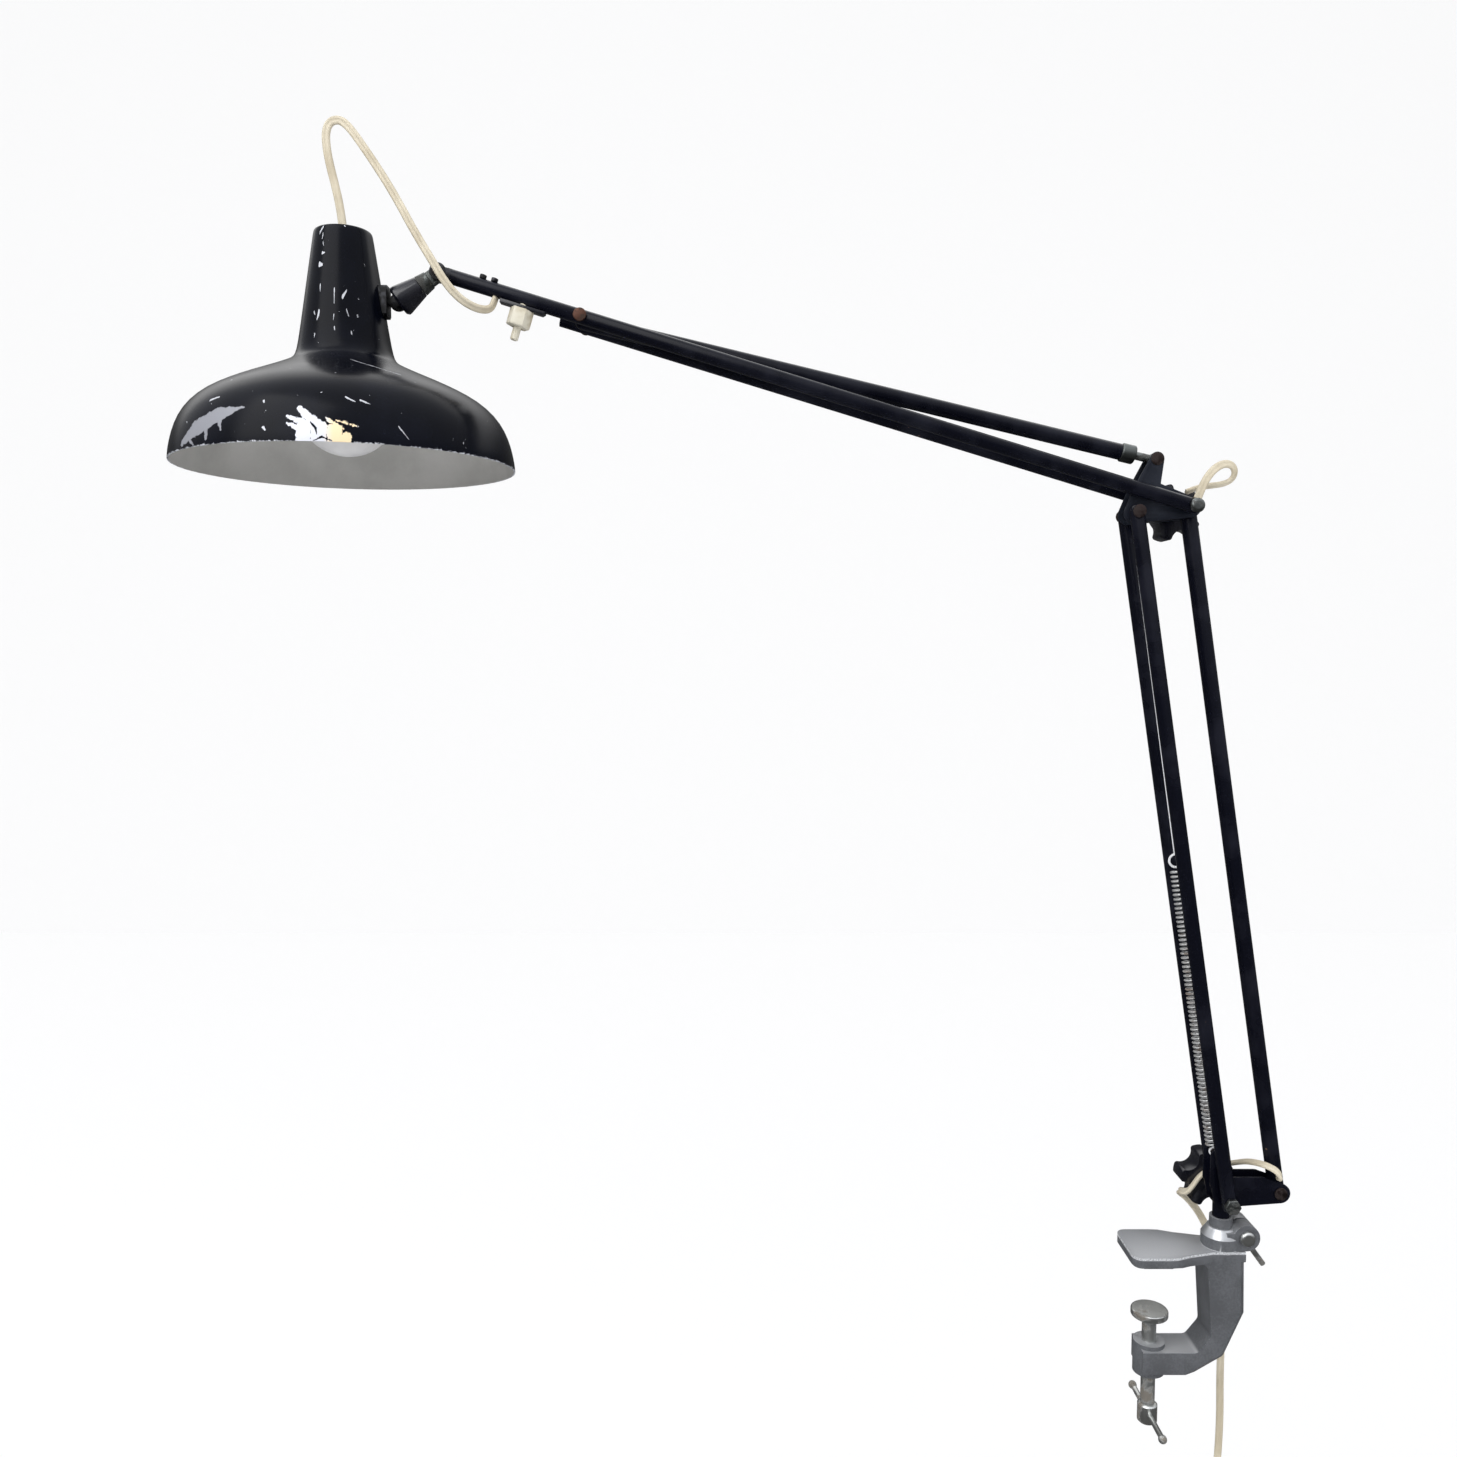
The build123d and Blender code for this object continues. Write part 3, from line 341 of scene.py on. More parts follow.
copper_rivet = metal("copper_rivet", (0.11, 0.057, 0.042), 0.5, (0.06, 0.035, 0.025), 0.25, blotch=0.004)
dark_steel = metal("dark_steel", (0.05, 0.05, 0.055), 0.42, (0.02, 0.02, 0.02), 0.3, blotch=0.004)
bulb_brass = metal("bulb_brass", (0.62, 0.47, 0.22), 0.34, (0.25, 0.17, 0.08), 0.2)
print("metals are mixed")

# %% [markdown]
# ## Mouldings, flex and glass
# The knobs are black phenolic, glossier than the enamel. The switch is cream plastic that has yellowed
# a little in patches. The flex is soft cream vinyl, and dirt gathers along it. The bulb is frosted, so
# it reads as a pale, softly shining skin and not as clear glass.


# %% Plastics and the bulb
def moulding(name, colour, aged, gloss, patch=0.02, depth=0.00003):
    finish = Finish(name, colour, gloss, Specular_IOR_Level=0.5)
    cloud = finish.noise(patch, detail=3)
    pits = finish.noise(0.0012, detail=2)
    finish.paint("Base Color", finish.mix(cloud.ramp(0.38, 0.7), rgb(*colour), rgb(*aged)))
    finish.paint("Roughness", gloss + (cloud - 0.5) * 0.22)
    finish.bump(pits, depth, 0.5)
    return finish.material


black_plastic = moulding("black_plastic", (0.0045, 0.005, 0.009), (0.012, 0.012, 0.016), 0.20)
cream_plastic = moulding("cream_plastic", (0.66, 0.62, 0.50), (0.50, 0.44, 0.31), 0.38, patch=0.008)
flex_vinyl = moulding("flex_vinyl", (0.67, 0.60, 0.455), (0.52, 0.45, 0.32), 0.42, patch=0.03,
                      depth=0.000006)
bulb_frost = moulding("bulb_frost", (0.60, 0.59, 0.57), (0.48, 0.47, 0.46), 0.30, patch=0.03)
print("plastics and glass are mixed")

# %% [markdown]
# ## The shade's paint
# Outside, the shade is blue-black and glossy, with small chips and scratches and two large patches near
# the rim where the coat has flaked down to bright aluminium. The paint loss is drawn as strokes on the
# unrolled shade: the first number runs round it from the near side towards +X, and the second is the
# height above the rim, both in millimetres at the rim's size. Noise tears the strokes' edges. The wing
# at the left is dull silver. The torn patch in the middle is bright, and a yellowish glow of light is
# painted on its right. Inside, the shade is plain grey.


# %% Outside and inside of the shade
wing = [((-83, 4), (-70, 11), 2.2, 5.2), ((-70, 11), (-52, 17.5), 5.2, 5.0),
        ((-52, 17.5), (-31, 21.5), 5.0, 0.5), ((-59, 12), (-58, 4), 2.2, 0.6),
        ((-48, 14), (-46, 8.5), 2.0, 0.4), ((-76, 6), (-70, 1.5), 2.0, 0.5)]
torn_patch = [((8.5, -1), (8.5, 9), 4.6, 4.4), ((17, 0), (17.5, 7.5), 5.2, 5.0),
              ((26, -1), (26, 6.5), 5.0, 4.8), ((31.5, 0), (33, 3), 4.0, 3.4),
              ((6, 19.5), (15.5, 10.5), 1.7, 3.4), ((-1.5, 15.2), (8, 11), 0.4, 2.4),
              ((-1.5, 10.8), (8, 7), 0.5, 2.2), ((21.5, 14.3), (29, 9), 0.4, 2.0),
              ((27, 13.2), (39.5, 10), 0.5, 0.3)]
cracks = [((12.5, 11.5), (15.5, 8), 0.35, 0.7), ((15.5, 8), (16, 4.5), 0.7, 0.4),
          ((14, 0.5), (19, 3), 0.3, 0.6), ((19, 3), (24.5, 0.8), 0.6, 0.4)]
scratches = [((-63, 28.5), (-55, 30), 0.5, 0.35), ((-16, 8.5), (-14.8, 7), 0.8, 0.4),
             ((-18, 25), (-17.6, 24), 0.6, 0.4), ((33, 28), (38.5, 25.5), 0.5, 0.3),
             ((42, 26.5), (47.5, 24.5), 0.6, 0.3), ((64, 12), (70, 4.5), 0.35, 0.25),
             ((40, 62), (82, 50), 0.3, 0.2)]
neck_chips = [((-60, 151), (-44, 155), 1.2, 0.7), ((-44, 149), (-45, 147), 1.6, 0.8),
              ((-40, 144), (-37, 142), 0.9, 0.5), ((-41, 137), (-30, 137), 1.2, 0.4),
              ((-49, 129.5), (-36, 129), 2.0, 0.7), ((-38, 115), (-37, 112), 1.4, 0.7),
              ((-36, 97), (-40, 93), 2.4, 0.9), ((-52, 98), (-48, 96), 0.9, 0.5),
              ((-43, 82.5), (-42.5, 81.5), 1.3, 0.7), ((6, 112), (6, 103), 1.2, 0.5),
              ((6, 95), (5, 92), 0.8, 0.4), ((28, 107), (40, 112), 1.5, 0.5),
              ((8, 86.5), (9, 85.5), 1.2, 0.6), ((48, 84), (49, 83), 1.0, 0.5),
              ((38, 99), (43, 95), 0.8, 0.4)]


def shade_outside(name, small_marks, patches):
    finish = Finish(name, (0.002, 0.0025, 0.005), 0.3, Specular_IOR_Level=0.1)
    east, north = (finish.along(axis) for axis in ((1, 0, 0), (0, 1, 0)))
    around = (east - shade_axis.x).maths("ARCTAN2", north * -1 + shade_axis.y) * (shade_radius / mm)
    height = (finish.along((0, 0, 1)) - shade_low.z) / mm
    spot = Signal(finish, finish.node("ShaderNodeCombineXYZ", None, {"X": around, "Y": height}).outputs[0])
    ragged = finish.noise(0.0045, detail=6, roughness=0.75) - 0.5
    jitter = finish.noise(0.0012, detail=2) - 0.5

    def loss(strokes, torn):
        nearest = finish.stroke(spot, *strokes[0])
        for one in strokes[1:]:
            nearest = nearest.maths("MINIMUM", finish.stroke(spot, *one))
        return 1 - (nearest + ragged * torn + jitter * 0.8).ramp(-0.12, 0.12)

    chipped = loss(small_marks, 1.6) + finish.noise(0.0032, detail=3, roughness=0.6).ramp(0.735, 0.75)
    bare = rgb(0.56, 0.57, 0.60)
    if patches:
        left = loss(wing, 6.0)
        centre = loss(torn_patch, 7.0) * (1 - loss(cracks, 1.5))
        rim = 1 - (height + ragged * 5.0 + jitter * 3.0).ramp(0.2, 0.7)
        chipped = chipped + left + centre + rim
        # A painted glow: the yellowish colour on the torn patch's right stands in for light shining on the
        # bare metal.
        painted_glow = (around - 19).ramp(0, 7) * (1 - (around - 38).ramp(0, 3)) * (1 - (height - 14).ramp(0, 3))
        silver = finish.mix(left, bare, rgb(0.30, 0.305, 0.33))
        bright = finish.mix(painted_glow, rgb(0.72, 0.73, 0.78), rgb(0.95, 0.76, 0.48))
        bare = finish.mix(centre, silver, bright)
    chipped = chipped.maths("MINIMUM", 1.0)
    cloud = finish.noise(0.035, detail=4)
    coat = finish.mix(cloud.ramp(0.4, 0.75), rgb(0.0013, 0.0018, 0.0042), rgb(0.0032, 0.0040, 0.0082))
    finish.paint("Base Color", finish.mix(chipped, coat, bare))
    finish.paint("Roughness", (cloud - 0.5) * 0.2 + 0.24 + chipped * 0.2)
    finish.paint("Metallic", chipped * 0.25)
    finish.bump(finish.noise(0.02, detail=2) * 0.5 - chipped * 0.5, 0.0003, 0.3)
    return finish.material


def shade_inside():
    finish = Finish("shade_inside", (0.30, 0.30, 0.295), 0.5, Specular_IOR_Level=0.3)
    cloud = finish.noise(0.05, detail=5)
    speckle = finish.noise(0.0018, detail=2)
    clean, dusty = rgb(0.40, 0.39, 0.365), rgb(0.30, 0.295, 0.27)
    finish.paint("Base Color", finish.mix(cloud.ramp(0.35, 0.7) * 0.8 + (speckle - 0.5) * 0.3, clean, dusty))
    finish.bump(speckle, 0.00008, 0.5)
    return finish.material


bowl_paint = shade_outside("shade_bowl", scratches, patches=True)
neck_paint = shade_outside("shade_neck", neck_chips, patches=False)
inside_paint = shade_inside()
print("shade paints:", bowl_paint.name, neck_paint.name, inside_paint.name)

# %% [markdown]
# ## Dressing the solids
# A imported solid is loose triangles, which shade as flat facets. For sheet, castings and turned pieces a
# copy is welded, its coplanar triangles are joined, and a small bevel rounds every edge. Real edges are
# never sharp, and the bevel is what catches the light along them. On the clamp the bevel is also given
# its own brighter metal, because a casting's edges are rubbed first.


# %% Weld, bevel and smooth a copy of a solid
def dressed(node, material, bevel=0.0004, steps=2, smooth=40, edges=None):
    source = frame["nodes"][node]
    take_only(source)
    bpy.ops.object.duplicate()
    piece = bpy.context.object
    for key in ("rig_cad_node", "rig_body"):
        if key in piece:
            del piece[key]
    piece.parent = None
    piece.name = node + "_dressed"
    piece.data.materials.clear()
    piece.data.materials.append(material)
    take_only(piece)
    bpy.ops.object.mode_set(mode="EDIT")
    bpy.ops.mesh.select_all(action="SELECT")
    bpy.ops.mesh.remove_doubles(threshold=0.00001)
    bpy.ops.mesh.dissolve_limited(angle_limit=radians(0.5))
    bpy.ops.object.mode_set(mode="OBJECT")
    if bevel:
        rounding = piece.modifiers.new("rounded edges", "BEVEL")
        rounding.width, rounding.segments = bevel, steps
        rounding.limit_method, rounding.angle_limit = "ANGLE", radians(32)
        rounding.use_clamp_overlap = True
        if edges:
            piece.data.materials.append(edges)
            rounding.material = 1
        apply_modifiers(piece)
    take_only(piece)
    bpy.ops.object.shade_smooth_by_angle(angle=radians(smooth))
    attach(piece, source["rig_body"])
    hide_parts(node)
    return piece


finishes = {
    "black_enamel": (black_enamel, ["lower_tube_near", "lower_tube_far", "rear_link", "upper_tube_near",
                                    "upper_tube_far", "strut_tube", "base_bracket", "base_post"]),
    "bracket_enamel": (bracket_enamel, ["elbow_bracket"]),
    "black_plastic": (black_plastic, ["lower_knob", "upper_knob", "ball_socket", "lamp_holder"]),
    "bright_steel": (bright_steel, ["pinch_bolt", "pinch_nut", "clamp_screw", "tommy_bar", "swivel_pad",
                                    "base_sleeve", "stud_nut", "holder_nipple"]),
    "rivet_steel": (rivet_steel, ["link_rivet", "elbow_rivet", "strut_rear_rivet", "knuckle_pin"]),
    "grey_alloy": (grey_alloy, ["strut_ferrule", "knuckle"]),
    "cream_plastic": (cream_plastic, ["switch_housing", "switch_button"]),
    "bulb_brass": (bulb_brass, ["bulb_cap"]),
    "flex_vinyl": (flex_vinyl, ["mains_plug", "coil_tie"]),
}
bevels = {"lower_knob": 0.0012, "upper_knob": 0.0012, "ball_socket": 0.0008,
          "pinch_bolt": 0.0006, "mains_plug": 0.0010}
dressed_pieces = {}
for slot, (material, nodes) in finishes.items():
    for node in nodes:
        dressed_pieces[node] = dressed(node, material, bevel=bevels.get(node, 0.00035))
dressed_pieces["clamp_frame"] = dressed("clamp_frame", cast_alloy, bevel=0.0011,
                                        edges=rubbed_alloy)
for node, material, slot in (("strut_front_rivet", copper_rivet, "rivet_steel"),
                             ("lower_pivot_bolt", aged_zinc, "bright_steel"),
                             ("upper_pivot_bolt", aged_zinc, "bright_steel"),
                             ("strut_rod", aged_zinc, "bright_steel"),
                             ("ball_stud", dark_steel, "bright_steel"),
                             ("fork_screws", dark_steel, "bright_steel"),
                             ("switch_saddle", black_plastic, "black_plastic"),
                             ("neck_plate", dark_steel, "grey_alloy"),
                             ("arm_fork", dark_steel, "grey_alloy")):
    dressed_pieces[node] = dressed(node, material)
print(len(dressed_pieces), "solids are dressed")

# %% [markdown]
# ## The spun shade
# A spinner presses a flat disc over a former, so the wall is thin and the outline is one smooth line. A
# ring of points is added at the rim and extruded up the outline, ring by ring, with each ring scaled to
# its radius. Solidify gives the wall its thickness and moves the inside one paint on, to the grey, and
# subdivision smooths the outline between the rings.

# %% Extrude the outline and give it a wall
wall, spin_steps = 1.0 * mm, 96
neck_foot, neck_top, cord_hole = 74, 156.7, 5.1
outline = [(112.0, 0.4), (111.8, 4), (111.2, 8), (109.3, 17), (105.6, 27), (99.5, 36), (90.5, 43.8),
           (79.5, 49.8), (67.0, 55.6), (54.0, 61.0), (42.0, 66.4), (36.8, 69.1), (33.4, 71.8), (31.4, 76.0),
           (29.3, 88), (27.0, 103), (24.6, 119), (22.0, 136), (19.6, 152.0), (19.1, 155.0), (18.6, 156.2),
           (17.4, neck_top), (15.0, neck_top)]


def extrude_ring(old_radius, new_radius, rise):
    bpy.ops.mesh.extrude_edges_move(TRANSFORM_OT_translate={"value": (0, 0, rise)})
    scale = new_radius / old_radius
    bpy.ops.transform.resize(value=(scale, scale, 1), center_override=(shade_axis.x, shade_axis.y, 0))


bpy.ops.object.select_all(action="DESELECT")
bpy.ops.mesh.primitive_circle_add(vertices=spin_steps, radius=outline[0][0] * mm,
                                  location=(shade_axis.x, shade_axis.y, shade_low.z + outline[0][1] * mm))
shade = settle(bpy.context.object, "spun_shade")
bpy.ops.object.mode_set(mode="EDIT")
bpy.ops.mesh.select_all(action="SELECT")
for (radius, height), (next_radius, next_height) in zip(outline, outline[1:] + [(cord_hole, neck_top)]):
    extrude_ring(radius, next_radius, (next_height - height) * mm)
bpy.ops.mesh.select_all(action="SELECT")
bpy.ops.mesh.normals_make_consistent(inside=False)
bpy.ops.object.mode_set(mode="OBJECT")
rounded = shade.modifiers.new("smooth outline", "SUBSURF")
rounded.levels = rounded.render_levels = 1
skin = shade.modifiers.new("wall", "SOLIDIFY")
skin.thickness, skin.offset = wall, -1
skin.material_offset, skin.material_offset_rim = 1, 0
for paint in (bowl_paint, inside_paint, neck_paint, inside_paint):
    shade.data.materials.append(paint)
for face in shade.data.polygons:
    if face.center.z > shade_low.z + neck_foot * mm:
        face.material_index = 2
apply_modifiers(shade)
bpy.ops.object.shade_smooth_by_angle(angle=radians(50))
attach(shade, "head")
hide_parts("shade")
print("shade", len(shade.data.polygons), "faces,", round(max(v.co.z for v in shade.data.vertices), 4), "top")

# %% [markdown]
# ## The bulb
# The glass is a lathe shape too: a big round end, a neck and the brass cap. A UV sphere makes the round
# end, and its upper rings are pulled in and up to form the neck.

# %% Pull a sphere into a bulb
glass_low, glass_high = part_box("bulb_glass")
glass_radius = (glass_high.x - glass_low.x) / 2
neck_radius = 13.2 * mm
bpy.ops.object.select_all(action="DESELECT")
bpy.ops.mesh.primitive_uv_sphere_add(segments=64, ring_count=40, radius=glass_radius,
                                     location=(shade_axis.x, shade_axis.y, glass_low.z + glass_radius))
bulb = settle(bpy.context.object, "bulb")
centre_z = glass_low.z + glass_radius
for vertex in bulb.data.vertices:
    above = max(0.0, (vertex.co.z - centre_z) / glass_radius)
    out = Vector((vertex.co.x - shade_axis.x, vertex.co.y - shade_axis.y))
    if above > 0:
        share = above * above * (3 - 2 * above)
        radius = max(out.length, neck_radius * min(1.0, (1 - above) * 12) * share + out.length * (1 - share))
        if out.length > 1e-6:
            out = out * (radius / out.length)
        vertex.co.x, vertex.co.y = shade_axis.x + out.x, shade_axis.y + out.y
        vertex.co.z = centre_z + above * (glass_high.z - centre_z)
bulb.data.materials.append(bulb_frost)
take_only(bulb)
bpy.ops.object.shade_smooth()
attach(bulb, "head")
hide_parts("bulb_glass")
print("bulb is", round((glass_high.z - glass_low.z) * 1000), "mm of glass")

# %% [markdown]
# ## Wound springs
# A tension spring's turns lie against each other. A small circle is drawn beside the spring's line, and
# the Screw modifier sweeps it round and along, which is exactly a helix. It is made standing up and then
# laid along its line.


# %% Sweep a helix along a line
def wound(name, start, along, length, turns, radius, wire, material):
    bpy.ops.object.select_all(action="DESELECT")
    bpy.ops.mesh.primitive_circle_add(vertices=8, radius=wire / 2, rotation=(pi / 2, 0, 0),
                                      location=(radius - wire / 2, 0, 0))
    spring = settle(bpy.context.object, name)
    sweep = spring.modifiers.new("helix", "SCREW")
    sweep.axis, sweep.angle, sweep.iterations = "Z", 2 * pi, turns
    sweep.screw_offset = (length - wire) / turns
    sweep.steps = sweep.render_steps = 20
    sweep.use_merge_vertices = False
    apply_modifiers(spring)
    turn = Vector((0, 0, 1)).rotation_difference(along).to_matrix().to_4x4()
    spring.data.transform(Matrix.Translation(start + along * (wire / 2)) @ turn)
    spring.data.materials.append(material)
    take_only(spring)
    bpy.ops.object.shade_smooth()
    return spring


spring_low, spring_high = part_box("balance_spring")
spring_foot = middle("spring_pin")
pull = (elbow_pivot - spring_foot).normalized()
spring_start, spring_length, spring_turns = 4 * mm, 203 * mm, 62
spring_radius, spring_wire = 5 * mm, 1.5 * mm
spring = wound("balance_spring_wound", spring_foot + pull * spring_start, pull, spring_length, spring_turns,
               spring_radius, spring_wire, spring_steel)
print("spring has", len(spring.data.polygons), "faces")

# %% [markdown]
# The spring hangs on a pin at its foot and pulls on the elbow's rivet through a ring and a wire. Both
# ends are bent wire: a ring is a torus, and a straight stretch is a thin cylinder between two points.
# They are joined to the spring, so that spring, rings and wire are one piece.


# %% Rings, straight wire and joining
def ring(centre, axis, radius, wire):
    bpy.ops.object.select_all(action="DESELECT")
    turn = Vector((0, 0, 1)).rotation_difference(axis).to_euler()
    bpy.ops.mesh.primitive_torus_add(location=centre, rotation=turn, major_radius=radius,
                                     minor_radius=wire / 2, major_segments=36, minor_segments=10)
    return bpy.context.object


def straight_wire(start, end, wire):
    bpy.ops.object.select_all(action="DESELECT")
    line = end - start
    turn = Vector((0, 0, 1)).rotation_difference(line).to_euler()
    bpy.ops.mesh.primitive_cylinder_add(vertices=12, radius=wire / 2, depth=line.length,
                                        location=(start + end) / 2, rotation=turn)
    return bpy.context.object


def joined(base, others):
    """Joins pieces into the first one, which keeps its name and finish."""
    take_only(base)
    for other in others:
        other.select_set(True)
    bpy.ops.object.join()
    return settle(base, base.name)


across_lamp = Vector((0, 1, 0))
spring_top = spring_foot + pull * (spring_start + spring_length)
wire_size, hook_wire = 1.6 * mm, 1.4 * mm
pin_loop, top_loop, rivet_loop = 2.7 * mm, 4.6 * mm, 3.3 * mm
hook = ring(spring_foot + pull * 0.8 * mm, across_lamp, pin_loop, hook_wire)
top_ring = ring(spring_top + pull * 5.6 * mm, across_lamp, top_loop, wire_size)
pull_wire = straight_wire(spring_top + pull * 10 * mm, elbow_pivot - pull * rivet_loop, wire_size)
wire_loop = ring(elbow_pivot, across_lamp, rivet_loop, wire_size)
spring = joined(spring, [hook, top_ring, pull_wire, wire_loop])
bpy.ops.object.shade_smooth_by_angle(angle=radians(50))
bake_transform(spring)
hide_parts("balance_spring", "spring_wire")
print("spring pulls over", round((elbow_pivot - spring_foot).length, 3), "m")

# %% [markdown]
# ## Finishing what stays hidden
# The strut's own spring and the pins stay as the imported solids, because a tube or a bracket hides them.
# They still get their finish, so that nothing is left plain when the lamp is seen from below or behind.

# %% Hidden solids
for node, material in {"strut_spring": spring_steel, "spring_pin": rivet_steel}.items():
    slots = frame["nodes"][node].data.materials
    slots.clear()
    slots.append(material)
    print(node, "has", material.name)

# %% [markdown]
# ## The twin flex
# The flex is two insulated wires side by side with a shallow web between them: 5.6 mm wide and 2.9 mm
# thick. Its route is a short list of points, and a NURBS spline makes one smooth line of them. The
# section is carried along that line without twisting, so the groove runs on evenly, also from one piece
# of flex to the next. The flex is cut where a joint bends it.

# %% A flat section carried along a smooth line
flex_width, wire_radius, web_half = 5.6 * mm, 1.45 * mm, 0.95 * mm


def twin_section():
    """The outline of the two wires and the web, as (along the width, through the thickness)."""
    reach, offset = 112, flex_width / 2 - wire_radius
    lobe = [radians(-reach + n * reach / 4) for n in range(9)]
    right = [(offset + wire_radius * cos(a), wire_radius * sin(a)) for a in lobe]
    left = [(-x, -y) for x, y in right]
    return right + [(0, web_half)] + left + [(0, -web_half)]


def smooth_line(points, fineness=8):
    """The points that a NURBS spline passes through, read from its own mesh."""
    curve = bpy.data.curves.new("route", "CURVE")
    curve.dimensions = "3D"
    spline = curve.splines.new("NURBS")
    spline.points.add(len(points) - 1)
    for place, point in zip(spline.points, points):
        place.co = (*point, 1)
    spline.order_u = 3
    spline.use_endpoint_u = True
    curve.resolution_u = fineness
    holder = bpy.data.objects.new("route", curve)
    bpy.context.scene.collection.objects.link(holder)
    bpy.context.view_layer.update()
    mesh = bpy.data.meshes.new_from_object(holder)
    line = [vertex.co.copy() for vertex in mesh.vertices]
    bpy.data.objects.remove(holder)
    return line


def flex_piece(name, points, side):
    """Skins a route with the twin section. Returns the piece, its line and the width's last direction."""
    line = smooth_line(points)
    section = twin_section()
    vertices, faces, side = [], [], Vector(side)
    for n, here in enumerate(line):
        tangent = (line[min(n + 1, len(line) - 1)] - line[max(n - 1, 0)]).normalized()
        side = (side - tangent * side.dot(tangent)).normalized()
        thick = tangent.cross(side)
        vertices += [here + side * x + thick * y for x, y in section]
    count = len(section)
    for n in range(len(line) - 1):
        for k in range(count):
            a, b = n * count + k, n * count + (k + 1) % count
            faces.append((a, b, b + count, a + count))
    faces.append(tuple(reversed(range(count))))
    faces.append(tuple(range((len(line) - 1) * count, len(line) * count)))
    mesh = bpy.data.meshes.new(name)
    mesh.from_pydata(vertices, [], faces)
    piece = bpy.data.objects.new(name, mesh)
    bpy.context.scene.collection.objects.link(piece)
    mesh.materials.append(flex_vinyl)
    take_only(piece)
    bpy.ops.object.shade_smooth_by_angle(angle=radians(60))
    return piece, line, side


def metres(points):
    return [Vector(point) * mm for point in points]


def declare_flex(piece, line, length, solids):
    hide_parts(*solids)
    drawn = sum((b - a).length for a, b in zip(line, line[1:]))
    print(piece.name, "is", round(drawn, 3), "m long as drawn and", length, "m in all")


# %% [markdown]
# At the head the flex comes out of the closed top of the shade, folds over, and runs down past the ball
# joint to a hole under the long tube. It crosses three joints, so it is made in three cuts: from the
# shade's top over the fold, down past the socket, and on to the arm.

# %% Flex at the head
shade_cut = metres([
    (-561.5, -12.9, 716.5), (-562.8, -12.8, 729), (-566, -12.7, 744.5), (-569.8, -13, 760),
    (-571.6, -13.2, 772), (-571.5, -13.5, 780.5), (-568.5, -13.8, 786.3), (-562.5, -14.3, 787.6),
    (-556.5, -15.4, 783.5), (-548.5, -17.5, 773), (-542, -19, 763.5),
])
socket_cut = metres([
    (-542, -19, 763.5), (-535.5, -20.5, 754), (-523, -24, 734), (-510.5, -27, 711), (-504.7, -28, 701.5),
])
arm_cut = metres([
    (-504.7, -28, 701.5), (-498.9, -29, 692), (-491.2, -28.6, 678.8), (-483.4, -26.5, 669.4),
    (-476.2, -23.1, 664.5), (-469.6, -18.4, 662.6), (-464.2, -14.4, 663.4), (-461.4, -12.9, 666.8),
    (-459.8, -12.9, 672.2),
])
flex_at_shade, line, side = flex_piece("flex_at_shade", shade_cut, (1, 0, 0))
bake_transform(flex_at_shade)
declare_flex(flex_at_shade, line, 0.109, ["flex_shade"])
flex_at_socket, line, side = flex_piece("flex_at_socket", socket_cut, side)
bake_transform(flex_at_socket)
declare_flex(flex_at_socket, line, 0.073, ["flex_socket"])
flex_at_arm, line, side = flex_piece("flex_at_arm", arm_cut, side)
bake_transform(flex_at_arm)
declare_flex(flex_at_arm, line, 0.073, ["flex_arm"])

# %% [markdown]
# Inside the long tube the flex runs on unseen. It comes out at the tube's rear end, makes a loop that
# lets the arm rise, and goes down between the cheeks of the elbow bracket.

# %% Flex at the elbow
elbow_cut = metres([
    (15.3, -12.9, 538), (18, -13, 545.4), (21.9, -12.9, 553), (27.8, -11.5, 559.2), (35, -9, 562.4),
    (41, -7.2, 561.2), (43.6, -5.6, 556.4), (41.6, -4, 551.4), (36, -2.6, 549), (28, -1.3, 548.2),
    (19.5, -0.4, 547), (12, 0, 544),
])
flex_at_elbow, line, side = flex_piece("flex_at_elbow", elbow_cut, (0.94, 0, -0.35))
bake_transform(flex_at_elbow)
declare_flex(flex_at_elbow, line, 0.081, ["flex_elbow"])

# %% [markdown]
# It leaves the rear link low down, crosses the base bracket, slips between the far tube and the knob,
# and turns into a valley of the knob. Round the knob's rim it becomes the mains lead, which hangs down
# behind the knob and the clamp.

# %% Flex at the base
base_cut = metres([
    (86.7, -6.1, 62.3), (86.6, -10.4, 63), (85, -13.8, 66.3), (81.4, -14.2, 70.4), (76.2, -11, 72.4),
    (71.6, -4.6, 71.8), (68.4, 2.6, 69.6), (65, 10.4, 65.6), (60.4, 17, 61.6), (53, 21.2, 57.2),
    (43, 21.3, 52), (36.2, 21.2, 41.6), (34, 24.8, 36.8), (33.75, 31, 34.6),
])
flex_at_base, line, side = flex_piece("flex_at_base", base_cut, (0, 0, 1))
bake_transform(flex_at_base)
declare_flex(flex_at_base, line, 0.100, ["flex_base"])

# %% [markdown]
# The rest of the lead is put away in a tied coil of seven turns. The turns share a round bundle: six
# positions round a middle one, a flex's width apart. Each turn keeps its own position and moves to the
# next one on its last sixth, so the turns lie beside each other and never run through each other.

# %% Lead, coil and plug
coil_low, coil_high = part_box("flex_coil")
coil_centre = (coil_low + coil_high) / 2
coil_radius, coil_turns, points_a_turn = 30 * mm, 7, 18
prong_length = 13.8 * mm
lead_cut = metres([
    (33.75, 31, 34.6), (33.9, 35.5, 33.2), (34.9, 41.8, 30.2), (38.4, 48, 26.2), (45, 51, 20.6),
    (53.5, 49, 10), (60.5, 45.8, -5), (65, 42.6, -24), (67.6, 40.4, -48), (68.7, 39.2, -78),
    (68.1, 38.6, -112), (68.8, 38.2, -142), (68.2, 38, -168), (67, 38, -187), (63.6, 38, -199.5),
])
spots = [(sin(radians(a)), -cos(radians(a))) for a in (90, 150)] + [(0, 0)]
spots += [(sin(radians(a)), -cos(radians(a))) for a in (210, 270, 330, 390)]


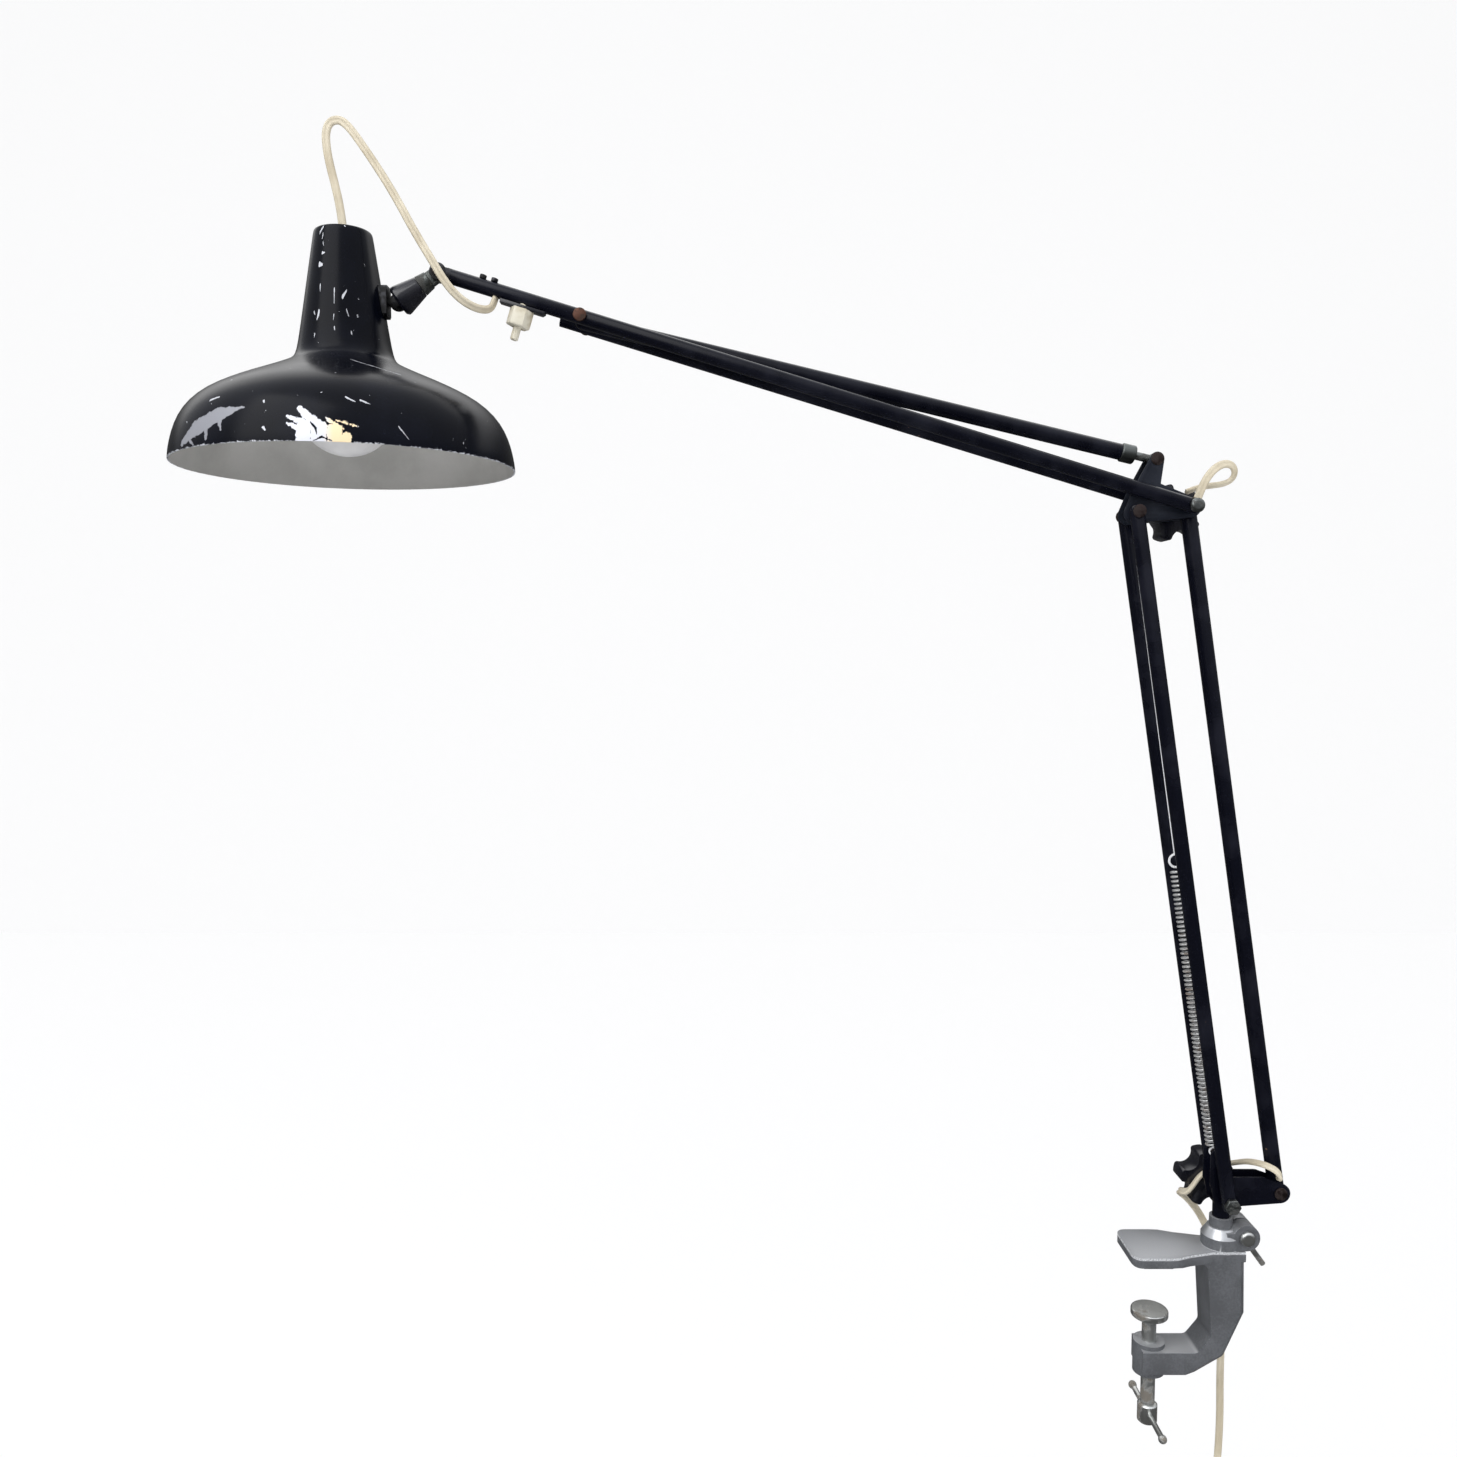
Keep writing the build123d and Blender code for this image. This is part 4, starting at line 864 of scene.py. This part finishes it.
def coil_point(turn):
    """A place on the coil after so many turns; spots are (outwards, towards the near side)."""
    whole = min(int(turn), coil_turns - 1)
    share = min(1.0, max(0.0, (turn - whole) * 6 - 5))
    now, after = spots[whole], spots[min(whole + 1, coil_turns - 1)]
    out = (now[0] + (after[0] - now[0]) * share) * flex_width
    near = (now[1] + (after[1] - now[1]) * share) * flex_width
    angle = radians(112) + turn * 2 * pi
    radius = coil_radius + out
    return coil_centre + Vector((radius * cos(angle), near, radius * sin(angle)))


coil_cut = [coil_point(n / points_a_turn) for n in range(coil_turns * points_a_turn - 2)]
plug_low, plug_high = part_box("mains_plug")
relief_top = Vector(((plug_low.x + plug_high.x) / 2 - 2 * mm, plug_high.y - 1 * mm, plug_high.z))
tail_cut = [relief_top + Vector((1, 1, 6)) * mm, relief_top, relief_top - Vector((-1, 2, 9)) * mm]
lead, line, side = flex_piece("mains_lead", lead_cut + coil_cut + tail_cut, side)
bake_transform(lead)
plug = dressed_pieces["mains_plug"]
plug.data.materials.append(bright_steel)
for face in plug.data.polygons:
    if face.center.z < plug_low.z + prong_length:
        face.material_index = 1
declare_flex(lead, line, 1.60, ["flex_lead", "flex_coil"])

# %% [markdown]
# ## Floor, backdrop, light and camera
# The lamp is shown against a pale ground. The floor and the backdrop look white to the camera, and a
# little of their own shading stays, so that a soft shadow shows. In reflections they are dim, as a room
# is, and brighter high up, which keeps upright black enamel black and lets sloping enamel shine grey.
# Two large soft lights and a sky that is brighter overhead light the lamp plainly. The camera itself
# sees a white sky.


# %% Pale ground
def ground_material():
    finish = Finish("pale_ground", (0.86, 0.86, 0.87), 0.9)
    rays = finish.node("ShaderNodeLightPath")
    seen = Signal(finish, rays.outputs["Is Camera Ray"])
    through = Signal(finish, rays.outputs["Is Transmission Ray"])
    mirrored = Signal(finish, rays.outputs["Is Glossy Ray"]) + through
    position = finish.node("ShaderNodeNewGeometry").outputs["Position"]
    high = finish.vector("DOT_PRODUCT", position, (0, 0, 1), "Value").ramp(1.3, 2.6)
    strength = 1 - mirrored * (0.9 - high * 1.8)
    white = finish.node("ShaderNodeEmission", None, {"Color": rgb(1, 1, 1), "Strength": strength})
    share = seen * 0.86 + mirrored
    blend = finish.node("ShaderNodeMixShader", None,
                        {0: share, 1: finish.shader.outputs[0], 2: white.outputs[0]})
    finish.tree.links.new(blend.outputs[0], finish.tree.nodes["Material Output"].inputs["Surface"])
    return finish.material


ground = ground_material()
ground_size, ground_x = 8, -0.25
bpy.ops.object.select_all(action="DESELECT")
bpy.ops.mesh.primitive_plane_add(size=ground_size, location=(ground_x, 0, lamp_low.z - 2 * mm))
floor = bpy.context.object
floor.name = "floor"
bpy.ops.object.select_all(action="DESELECT")
bpy.ops.mesh.primitive_plane_add(size=ground_size, location=(ground_x, 2.2, 2), rotation=(pi / 2, 0, 0))
backdrop = bpy.context.object
backdrop.name = "backdrop"
for surface in (floor, backdrop):
    surface.data.materials.append(ground)
print("ground at", round(floor.location.z, 3))


# %% Lights
def soft_light(name, place, target, size, power, mirrored=True):
    lamp = bpy.data.lights.new(name, "AREA")
    lamp.energy, lamp.size = power, size
    holder = bpy.data.objects.new(name, lamp)
    bpy.context.scene.collection.objects.link(holder)
    holder.location = place
    holder.rotation_euler = (Vector(target) - Vector(place)).to_track_quat("-Z", "Y").to_euler()
    holder.visible_glossy = mirrored


lamp_middle = (lamp_low + lamp_high) / 2
soft_light("window", (-1.5, -1.6, 1.9), lamp_middle, 2.0, 34)
soft_light("room", (1.4, -1.8, 1.0), lamp_middle, 1.4, 12, mirrored=False)
world = bpy.data.worlds.new("sky")
bpy.context.scene.world = world
world.use_nodes = True
links, nodes = world.node_tree.links, world.node_tree.nodes
way = nodes.new("ShaderNodeSeparateXYZ")
links.new(nodes.new("ShaderNodeTexCoord").outputs["Generated"], way.inputs[0])
height_share = nodes.new("ShaderNodeMapRange")
links.new(way.outputs["Z"], height_share.inputs["Value"])
for socket, value in (("From Min", -0.05), ("From Max", 0.85), ("To Min", 0.1), ("To Max", 1.45)):
    height_share.inputs[socket].default_value = value
background = nodes["Background"]
background.inputs["Color"].default_value = rgb(0.93, 0.95, 1.0)
links.new(height_share.outputs[0], background.inputs["Strength"])
plain_white = nodes.new("ShaderNodeBackground")
plain_white.inputs["Color"].default_value = rgb(1, 1, 1)
chosen = nodes.new("ShaderNodeMixShader")
links.new(nodes.new("ShaderNodeLightPath").outputs["Is Camera Ray"], chosen.inputs[0])
links.new(background.outputs[0], chosen.inputs[1])
links.new(plain_white.outputs[0], chosen.inputs[2])
links.new(chosen.outputs[0], nodes["World Output"].inputs["Surface"])
print("lights are up")

# %% [markdown]
# The camera stands a little left of the lamp's middle, level with the lower arm's upper half and lower
# than the shade, so that the inside of the shade shows. It looks very slightly down.

# %% Camera
view = bpy.data.cameras.new("front")
view.lens, view.sensor_width = 30.32, 36
camera = bpy.data.objects.new("front", view)
bpy.context.scene.collection.objects.link(camera)
camera.location = (-0.3033, -0.855, 0.4367)
camera.rotation_euler = (pi / 2 - radians(3.75), 0, 0)
bpy.context.scene.camera = camera
bpy.context.scene.view_settings.view_transform = "Standard"
print("camera at", [round(v, 3) for v in camera.location])
